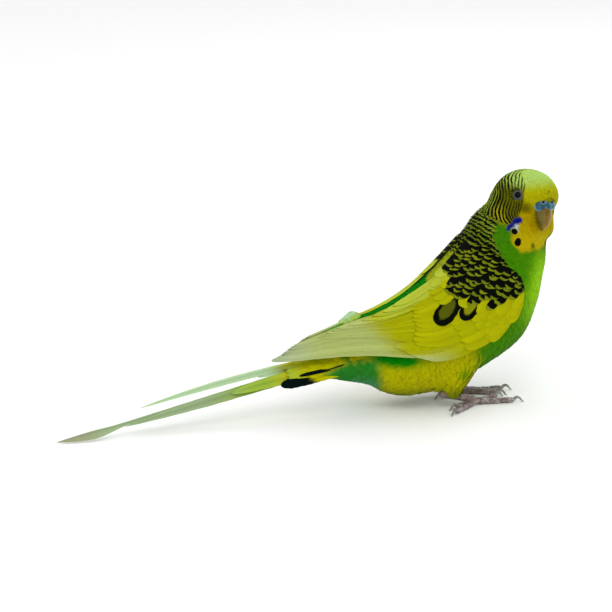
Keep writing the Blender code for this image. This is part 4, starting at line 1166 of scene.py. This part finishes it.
# The tail: long graduated feathers, each a stiff vane on its shaft, folded like a low roof with the
# longest pair in the middle and the longest tip on the floor. The short outer ones end in black ovals.
TAIL_BASE_YELLOW, TAIL_LIME, TAIL_SAGE = srgb(184, 182, 2), srgb(138, 166, 56), srgb(146, 168, 124)
TAIL_BLACK, TAIL_BROWN, TAIL_MINT = srgb(3, 16, 14), srgb(146, 150, 116), srgb(168, 198, 152)
# outlines: share of the length, share of the half width
PLAIN = [(0, 0.7), (0.25, 1.0), (0.6, 1.0), (0.85, 0.72), (0.96, 0.4), (1, 0.1)]
LANCE = [
    (0, 0.9), (0.32, 0.85), (0.55, 0.62), (0.68, 0.42), (0.76, 0.32), (0.81, 0.6), (0.86, 0.85), (0.91, 0.72),
    (0.96, 0.4), (1, 0.05),
]
SLENDER = [(0, 0.9), (0.3, 1.0), (0.6, 0.9), (0.8, 0.6), (0.93, 0.32), (1, 0.06)]
OVAL = [(0, 0.6), (0.3, 0.8), (0.6, 1.0), (0.85, 0.95), (0.96, 0.6), (1, 0.12)]
TAIL = [  # root, tip, half width, roll, bow, outline, and the share of the length where black begins
    ((-50, -0.7, 17.0), (-141.2, -2.2, 0.7), 1.9, 38, -0.5, LANCE, 2),
    ((-50, 0.7, 17.4), (-121.0, -0.8, 3.6), 1.7, 12, -0.3, SLENDER, 2),
    ((-50, -1.8, 16.8), (-119.5, -3.6, 3.9), 1.9, 44, 0.0, SLENDER, 2),
    ((-50, 1.9, 18.0), (-112.6, 4.2, 6.8), 1.5, 30, 1.2, SLENDER, 2),
    ((-50, 0.6, 17.8), (-74.0, 1.6, 13.9), 1.6, 25, 0.2, PLAIN, 2),
    ((-50, -2.6, 15.8), (-84.5, -4.0, 11.2), 1.9, 50, 0.5, PLAIN, 2),
    ((-46, -4.0, 14.6), (-68.6, -5.2, 12.4), 1.9, 62, 0.2, OVAL, 0.56),
    ((-44, -4.6, 16.6), (-62.5, -5.4, 15.0), 0.7, 45, 0.2, OVAL, 0.5),
    ((-40.5, -5.6, 18.9), (-54.5, -5.9, 15.9), 0.24, 45, 0.0, OVAL, 0.02),
    ((-46, 4.0, 14.6), (-60.0, 4.4, 12.0), 1.7, -62, 0.2, OVAL, 0.6),
    ((-44, 4.6, 16.2), (-57.0, 5.0, 14.2), 0.7, -45, 0.2, OVAL, 0.5),
]
vanes = Vanes()
for number, (root, tip, half_width, roll, bow, shape, black_from) in enumerate(TAIL):
    root, tip = np.array(root, float), np.array(tip, float)
    way = unit(tip - root)
    flat = unit(np.cross((0, 0, 1), way))
    face = np.cross(way, flat)
    roll = math.radians(roll)
    across = flat * math.cos(roll) - face * math.sin(roll)
    normal = np.cross(way, across)
    s, e, below, pattern = vane_pattern(np.linspace(0, 1, 33), 5)
    half = half_width * np.interp(s, *zip(*shape))
    half = half * (1 + 0.03 * np.sin(60 * s + number))
    if shape is LANCE:
        half = half * (1 + 0.6 * np.sign(e) * smooth(0.72, 0.82, s))
    ridge = 0.14 * np.exp(-((e / 0.15) ** 2)) * (1 - 0.7 * s)
    points = root + (tip - root) * s[:, None] + np.outer(bow * 4 * s * (1 - s), (0, 0, 1))
    thick = 0.22 * half / half_width * (1 - e**2) + ridge - below * 0.2
    points = points + across * (half * e)[:, None] + normal * thick[:, None]
    points[:, 2] = np.maximum(points[:, 2], 0.02)
    x = points[:, 0]
    tint = mix(np.tile(TAIL_BASE_YELLOW, (len(s), 1)), TAIL_LIME, smooth(-62, -74, x))
    tint = mix(tint, TAIL_SAGE, smooth(-76, -96, x))
    tint = mix(tint, TAIL_BROWN, smooth(-124, -134, x))
    if root[1] > 0.5 and tip[1] > 1:
        tint = mix(tint, TAIL_MINT, smooth(-62, -72, x))
    tint = mix(tint, tint * 0.8, np.exp(-((e / 0.1) ** 2)))
    if black_from < 1:
        tint = mix(tint, TAIL_BLACK, smooth(black_from - 0.06, black_from + 0.03, s + 0.1 * np.abs(e)))
    vanes.add(points, pattern, tint, s, e, rng.random(), (0.1 + 0.07 * number, 0.985))
tail = vanes.piece("tail_feathers", tail_plumage)
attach(tail, "root")
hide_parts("tail")

# Tail coverts: softer feathers over and under the roots of the tail, yellow above the sides and
# blue-green below, that carry the body's outline on to the tail.
vanes = Vanes()
COVERT_ROOT = np.array([  # back x and z, breast x and z, half width
    (-40.0, 24.6, -36.0, 8.6, 8.8), (-46.5, 21.4, -43.5, 10.2, 6.6), (-52.0, 18.9, -50.3, 11.9, 5.0),
    (-58.0, 17.8, -57.0, 11.6, 4.7), (-64.0, 16.6, -64.0, 11.8, 4.2), (-70.0, 15.4, -70.5, 12.4, 3.2),
    (-76.0, 14.2, -76.5, 12.6, 2.0),
])
COVERT_UNDER = ([-62, -54, -46, -38], [11.6, 14.6, 18.2, 19.2])  # x and z where the lower ones turn green
COVERT_RINGS = [(2.2, 4.3, 12), (1.7, 4.1, 12), (1.0, 3.2, 14), (0.4, 2.4, 14), (0.0, 1.6, 14)]
for ring, (root_q, tip_q, count) in enumerate(COVERT_RINGS):
    for k in range(count):
        turn = 2 * math.pi * (k + 0.5 * (ring % 2)) / count + rng.normal(0, 0.05)
        s, e, below, pattern = vane_pattern(1 - (1 - np.linspace(0, 1, 10)) ** 1.6, 5)
        shorter = 1.3 * float(smooth(-0.1, -0.5, math.cos(turn))) * (tip_q > 3)
        q = root_q + (tip_q - shorter - root_q) * s + rng.normal(0, 0.05)
        angle = np.full(len(s), turn)
        half = 2.3 * outline(s, 0.5, 0.6, 2.4)
        radius = along(COVERT_ROOT, q)[:, 4]
        point = oval(COVERT_ROOT, q, angle + e * half / (radius + 1.0), 0)
        outward = unit(point - oval(COVERT_ROOT, q, angle + math.pi, 0) * 0.5 - point * 0.5)
        level = -0.5 + 0.75 * s**0.8 + 0.15 * (1 - e**2) - below * 0.1
        points = point + outward * level[:, None]
        x = points[:, 0]
        under = smooth(1.5, -1.5, points[:, 2] - np.interp(x, *COVERT_UNDER))
        under = np.maximum(under, smooth(-49.0, -44.5, x))
        tint = np.tile(TAIL_BASE_YELLOW, (len(s), 1))
        tint = mix(tint, VENT_GREEN, under * (1 - smooth(-50, -60, x)))
        tint = mix(tint, DARK_GRASS, smooth(0.55, 0.9, math.sin(turn)) * (1 - smooth(-46, -50, x)))
        tint = mix(tint, TAIL_LIME, 0.8 * smooth(-58, -67, x))
        home = (0.05 + 0.9 * (turn / 6.4 % 1), 0.965 + 0.004 * ring)
        vanes.add(points, pattern, tint, s, e, rng.random(), home)
covert = vanes.piece("tail_coverts", body_plumage)
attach(covert, "root")


# The eyes: a glossy dark ball with a thin pale iris, set in the head inside a ring of bare blue-grey
# lid skin beaded with tiny folds.
EYE_RADIUS, EYE_AT = 2.15, (4.6, 7.0, 3.5)
PUPIL_EDGE, IRIS_EDGE = 0.50, 0.59  # as sines of the angle from the eye's axis
eye_gloss = new_material("eye_gloss", 0.12, Specular_IOR_Level=0.03, Coat_Weight=0.02, Coat_Roughness=0.03)
nodes, links = eye_gloss.node_tree.nodes, eye_gloss.node_tree.links
fac = attribute_node(nodes, "ring").outputs["Fac"]
iris_in = step_node(nodes, links, fac, PUPIL_EDGE - 0.02, PUPIL_EDGE + 0.03)
iris_out = step_node(nodes, links, fac, IRIS_EDGE - 0.04, IRIS_EDGE + 0.04)
colour = blend_node(nodes, links, iris_in, (0.004, 0.004, 0.005, 1), (*srgb(90, 96, 98), 1))
colour = blend_node(nodes, links, iris_out, colour, (*srgb(30, 32, 36), 1))
links.new(colour, shader_socket(eye_gloss, "Base Color"))
lid_skin = new_material("lid_skin", 0.6, Specular_IOR_Level=0.15)
nodes, links = lid_skin.node_tree.nodes, lid_skin.node_tree.links
grain = pattern_node(nodes, links, "Noise", 2500).outputs[0]
colour = blend_node(nodes, links, grain, (*srgb(46, 52, 54), 1), (*srgb(84, 92, 92), 1))
links.new(colour, shader_socket(lid_skin, "Base Color"))
for side, eye_name in ((-1, "eye_right"), (1, "eye_left")):
    centre = np.array((EYE_AT[0], side * EYE_AT[1], EYE_AT[2])) * (1.0 if side < 0 else 0.93)
    axis = unit(centre)
    first = unit(np.cross(axis, (0, 0, 1)))
    second = np.cross(axis, first)
    tilt = np.linspace(0, math.pi, 41)[1:-1]
    around = circle(64)
    ring_out = np.outer(np.cos(around), first) + np.outer(np.sin(around), second)
    rings = [from_head(centre + EYE_RADIUS * (math.cos(t) * axis + math.sin(t) * ring_out)) for t in tilt]
    ends = (from_head(centre + axis * EYE_RADIUS), from_head(centre - axis * EYE_RADIUS))
    eye = loft_piece(eye_name + "_ball", rings, eye_gloss, ends)
    local = in_head(points_of(eye)[0]) - centre
    off = np.arccos(np.clip(unit(local) @ axis, -1, 1))
    mark_points(eye, "ring", np.where(off < math.pi / 2, np.sin(off), 1.0))
    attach(eye, "root")
    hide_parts(eye_name)
    rings = []
    for t in circle(32):
        bead = 1 + 0.10 * np.sin(26 * around) * max(0, math.sin(t + 0.8))
        reach = 1.42 + 0.34 * math.cos(t) * bead
        lift = 1.60 + 0.26 * math.sin(t) * bead - 0.5 * (reach - 1.42)
        flat = np.outer(np.cos(around) * reach, first) + np.outer(np.sin(around) * reach * 0.94, second)
        rings.append(from_head(centre + np.outer(lift, axis) * 1.0 + flat))
    quads = wrapped_faces(len(rings) + 1, 64) % (len(rings) * 64)
    lids = mesh_piece(eye_name + "_lids", np.asarray(rings), quads, lid_skin)
    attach(lids, "root")


# Cere and bill: a swollen blue cere of two lobes with a nostril in each, over a short hooked upper
# bill of smooth horn, with the lower bill tucked in behind it.
def mottled(name, roughness, dark, light, scale, bump, rise=1.0, **sockets):
    """Skin or horn whose colour wanders between two shades over a fine grain."""
    made = new_material(name, roughness, **sockets)
    nodes, links = made.node_tree.nodes, made.node_tree.links
    grain = pattern_node(nodes, links, "Noise", scale, rise)
    grain.inputs["Detail"].default_value = 4
    share = step_node(nodes, links, grain.outputs[0], 0.35, 0.65)
    links.new(blend_node(nodes, links, share, (*dark, 1), (*light, 1)), shader_socket(made, "Base Color"))
    emboss(made, grain.outputs[0], bump, 0.1)
    return made


def shade_marked(material, shades):
    """Lays a shade over a material's colour wherever its points carry the mark of that name."""
    nodes, links = material.node_tree.nodes, material.node_tree.links
    colour = shader_socket(material, "Base Color").links[0].from_socket
    for attribute, shade in shades.items():
        mark = attribute_node(nodes, attribute).outputs["Fac"]
        colour = blend_node(nodes, links, mark, colour, (*shade, 1))
    links.new(colour, shader_socket(material, "Base Color"))


cere_skin = mottled("cere_skin", 0.45, srgb(22, 60, 78), srgb(42, 94, 114), 700, 0.3, Specular_IOR_Level=0.3)
# painted light on the cere: a pale highlight along its outline and far lobe, and painted shade darkening the
# nostrils
shade_marked(cere_skin, {"rim_highlight_and_pale_edges": srgb(128, 190, 204), "nostril": (0.004, 0.006, 0.01)})
RIGHT_LOBE, LEFT_LOBE = (9.9, -2.35, 0.7), (9.9, 1.6, 0.3)
CERE_LOBES = [  # middle in the head's axes, and radii; the last two fill the middle and the root
    (LEFT_LOBE, (1.7, 1.7, 1.65)), (RIGHT_LOBE, (1.8, 2.4, 1.95)),
    ((10.3, -0.3, 0.4), (1.7, 2.0, 1.6)), ((8.6, -0.4, 1.0), (1.8, 3.2, 1.8)),
]
lobes = []
around = circle(32)
for centre, radii in CERE_LOBES:
    rings = []
    for t in np.linspace(0, math.pi, 25)[1:-1]:
        flat = (math.sin(t) * np.cos(around), math.sin(t) * np.sin(around), np.full(32, math.cos(t)))
        rings.append(from_head(np.array(centre) + np.array(radii) * np.stack(flat, axis=1)))
    ends = [from_head(np.array(centre) + (0, 0, sign * radii[2])) for sign in (1, -1)]
    lobes.append(loft_piece("lobe", rings, cere_skin, ends))
cere = fused(lobes, "cere_lobes", 0.09, 0.5, 14, cere_skin)
points, normals = points_of(cere)
local = in_head(points)
openings = []
for side in (-1, 1):
    off = (local - (11.0, 1.9 * side - 0.45, 1.85 - 0.2 * side)) / (1, 1.0, 0.72)
    openings.append(np.linalg.norm(off, axis=1))
opening = np.minimum(*openings)
sunk = 0.75 * (1 - smooth(0.25, 0.6, opening)) - 0.13 * np.exp(-(((opening - 0.8) / 0.2) ** 2))
points = points - normals * sunk[:, None]
cere.data.vertices.foreach_set("co", ((points + ORIGIN) * MM).ravel())
# the pale rim is a painted highlight along the cere's outline as seen from the camera, brighter over the far
# lobe; it also lays a pale band along the lower edge and round each nostril
face_on = unit(np.array((0.80, -0.54, 0.25)))  # the way the visible side of the cere faces
rims = []
for middle, reach in ((RIGHT_LOBE, 2.0), (LEFT_LOBE, 1.65)):
    off = local - middle
    rims.append(np.linalg.norm(off - (off @ face_on)[:, None] * face_on, axis=1) / reach)
rim = smooth(0.82, 1.04, np.minimum(*rims)) * 0.6 + 0.15 * smooth(-0.6, 0.8, local[:, 1])
rim = np.maximum(rim, 0.85 * np.exp(-(((local[:, 2] + 0.85) / 0.32) ** 2)))
mark_points(cere, "rim_highlight_and_pale_edges", np.clip(rim + 0.3 * np.exp(-(((opening - 0.85) / 0.15) ** 2)), 0, 0.9))
# the nostrils' near-black is painted shade inside their openings
mark_points(cere, "nostril", 1 - smooth(0.45, 0.7, opening))
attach(cere, "root")
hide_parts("cere")
bill_horn = mottled("bill_horn", 0.32, srgb(96, 70, 2), srgb(150, 106, 6), 900, 0.15, 0.16,
                    Specular_IOR_Level=0.2, Coat_Weight=0.08)
# the flank mark lays a painted shade of grey olive on the bill's near side, towards the camera
shade_marked(bill_horn, {"flank": srgb(92, 88, 30), "growth_line": srgb(70, 58, 14)})
BILL_WIDER, BILL_ASIDE = 1.08, 1.05  # the bill is broader than its table, and stands to the right
UPPER_BILL = np.array([  # forward and up in the head's axes, half width, half depth, lean in degrees
    (8.6, 1.0, 1.8, 1.2, 30), (9.3, 0.0, 2.5, 2.0, 20), (9.8, -1.7, 2.65, 2.3, 3),
    (10.2, -3.7, 2.3, 1.95, -6), (10.2, -5.4, 1.7, 1.4, -14), (9.9, -6.7, 1.05, 0.85, -24),
    (9.4, -7.6, 0.5, 0.4, -34),
])
LOWER_BILL = np.array([
    (5.2, -3.6, 1.6, 1.2, 50), (6.1, -4.8, 2.0, 1.4, 45), (6.9, -6.0, 1.9, 1.3, 35),
    (7.5, -7.1, 1.4, 0.9, 22), (7.8, -7.9, 0.7, 0.4, 15),
])
around = circle(48)
for table, node in ((UPPER_BILL, "upper_bill"), (LOWER_BILL, "lower_bill")):
    rings = []
    for q in np.linspace(0, len(table) - 1, 40):
        forward, up, wide, deep, lean = along(table, q)
        lean = math.radians(lean)
        keel = 1 + 0.06 * np.cos(around) ** 9
        out, left = np.cos(around) * deep * keel, np.sin(around) * wide * BILL_WIDER - BILL_ASIDE
        ring = np.stack([forward + out * math.cos(lean), left, up + out * math.sin(lean)], axis=1)
        rings.append(from_head(ring))
    bill = loft_piece(node + "_horn", rings, bill_horn)
    local = in_head(points_of(bill)[0])
    # painted shade: the bill's near side, towards the camera, darkens to grey olive
    mark_points(bill, "flank", 0.85 * smooth(-1.1, -2.6, local[:, 1] + 0.25 * np.sin(2.2 * local[:, 2])))
    lines = 0.6 * smooth(0.2, 0.9, np.sin(2 * math.pi * local[:, 2] / 0.75)) * smooth(-3.0, -1.6, local[:, 2])
    mark_points(bill, "growth_line", lines)
    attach(bill, "root")
    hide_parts(node)


# Legs and feet: bare scaly skin over thin shanks, two toes ahead and two behind on each foot, with
# broad scutes on top and soft pads below, and a curved horn claw on each toe.
leg_skin = new_material("leg_skin", 0.55)
nodes, links = leg_skin.node_tree.nodes, leg_skin.node_tree.links
scales = pattern_node(nodes, links, "Voronoi", 1300).outputs["Distance"]
grime = step_node(nodes, links, pattern_node(nodes, links, "Noise", 240).outputs[0], 0.35, 0.65)
colour = blend_node(nodes, links, grime, (*srgb(122, 102, 96), 1), (*srgb(172, 164, 164), 1))
grooves = step_node(nodes, links, scales, 0.35, 0.75)
colour = blend_node(nodes, links, grooves, colour, (*srgb(98, 86, 82), 1))
links.new(colour, shader_socket(leg_skin, "Base Color"))
emboss(leg_skin, scales, 0.5, 0.1, sunk=True)
claw_horn = mottled("claw_horn", 0.4, srgb(96, 98, 88), srgb(150, 152, 140), 500, 0.1)


def limb(name, path, radii, material, sides=24, scute=0.0, pitch=0.9, floor=None):
    """A tube along a path, with raised scutes on its upper side."""
    path = np.asarray(path, float)
    distance = np.concatenate([[0], np.cumsum(np.linalg.norm(np.diff(path, axis=0), axis=1))])
    tangent = unit(np.gradient(path, axis=0))
    turns = circle(sides)
    rings = []
    for point, way, radius, gone in zip(path, tangent, radii, distance):
        across = unit(np.cross(way, (0, 0, 1)))
        over = np.cross(across, way)
        ripple = abs(math.sin(math.pi * gone / pitch)) - 0.5
        ripple = 1 + scute * ripple * np.clip(np.sin(turns) + 0.35, 0, 1)
        ring = point + np.outer(np.cos(turns) * radius * ripple, across)
        ring = ring + np.outer(np.sin(turns) * radius * ripple, over)
        if floor is not None:
            ring[:, 2] = np.maximum(ring[:, 2], floor)
        rings.append(ring)
    return loft_piece(name, rings, material)


LEGS = {  # heel, middle of the foot, and the x and y of each toe's tip
    "right": ((-14.6, -9.4, 5.4), (-2.0, -8.1, 1.7), {
        "front_outer": (11.0, -10.4), "front_inner": (7.4, -4.4),
        "back_outer": (-12.0, -15.8), "back_inner": (-9.6, -10.9),
    }),
    "left": ((-14.6, 8.2, 5.4), (0.2, 4.6, 1.7), {
        "front_outer": (13.2, 3.4), "front_inner": (9.4, -0.6),
        "back_outer": (-8.6, 12.0), "back_inner": (-8.9, 2.2),
    }),
}
TOE_HEIGHT, TOE_RADIUS, CLAW_LENGTH, CLAW_RADIUS = 0.75, 1.08, 3.9, 0.58
TOE_BUMPS = (  # share of the toe's length, and the radius there: pads and the joints between them
    [-0.04, 0.08, 0.16, 0.26, 0.34, 0.42, 0.5, 0.6, 0.68, 0.76, 0.84, 0.94, 1.0],
    [0.95, 1.06, 1.12, 1.02, 0.93, 0.99, 1.05, 0.95, 0.86, 0.9, 0.94, 0.85, 0.45],
)
for leg_side, (heel, foot, toes) in LEGS.items():
    heel, foot = np.array(heel), np.array(foot)
    share = np.linspace(-0.04, 1.06, 60)
    path = heel + np.outer(share, foot - heel)
    radii = np.interp(share, [-0.04, 0.05, 0.5, 0.92, 1.06], [0.8, 1.4, 1.2, 1.35, 0.9])
    parts = [limb("shank", path, radii, leg_skin, scute=0.12)]
    for toe, tip in toes.items():
        start, end = np.array((foot[0], foot[1], TOE_HEIGHT + 0.15)), np.array((tip[0], tip[1], TOE_HEIGHT))
        share = np.linspace(-0.04, 1, 70)
        path = start + np.outer(share, end - start)
        path[:, 2] += 0.12 * np.sin(3 * math.pi * share)
        radii = TOE_RADIUS * np.interp(share, *TOE_BUMPS)
        parts.append(limb("toe", path, radii, leg_skin, scute=0.14, pitch=0.8, floor=0.0))
        way = unit(np.array((tip[0] - foot[0], tip[1] - foot[1], 0.0)))
        share = np.linspace(0, 1, 26)
        arch = 1.25 * np.sin(math.pi * np.minimum(1, 1.15 * share)) - 0.6 * share
        path = end + np.outer(CLAW_LENGTH * share - 0.3, way) + np.outer(arch, (0, 0, 1))
        radii = CLAW_RADIUS * (1 - share) ** 0.7 + 0.06
        claw = limb(f"claw_{leg_side}_{toe}_horn", path, radii, claw_horn, 16, floor=0.05)
        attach(claw, "root")
        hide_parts(f"claw_{leg_side}_{toe}")
    leg = fused(parts, f"foot_{leg_side}_skin", 0.14, 0.4, 2, leg_skin)
    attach(leg, "root")
    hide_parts(f"foot_{leg_side}")
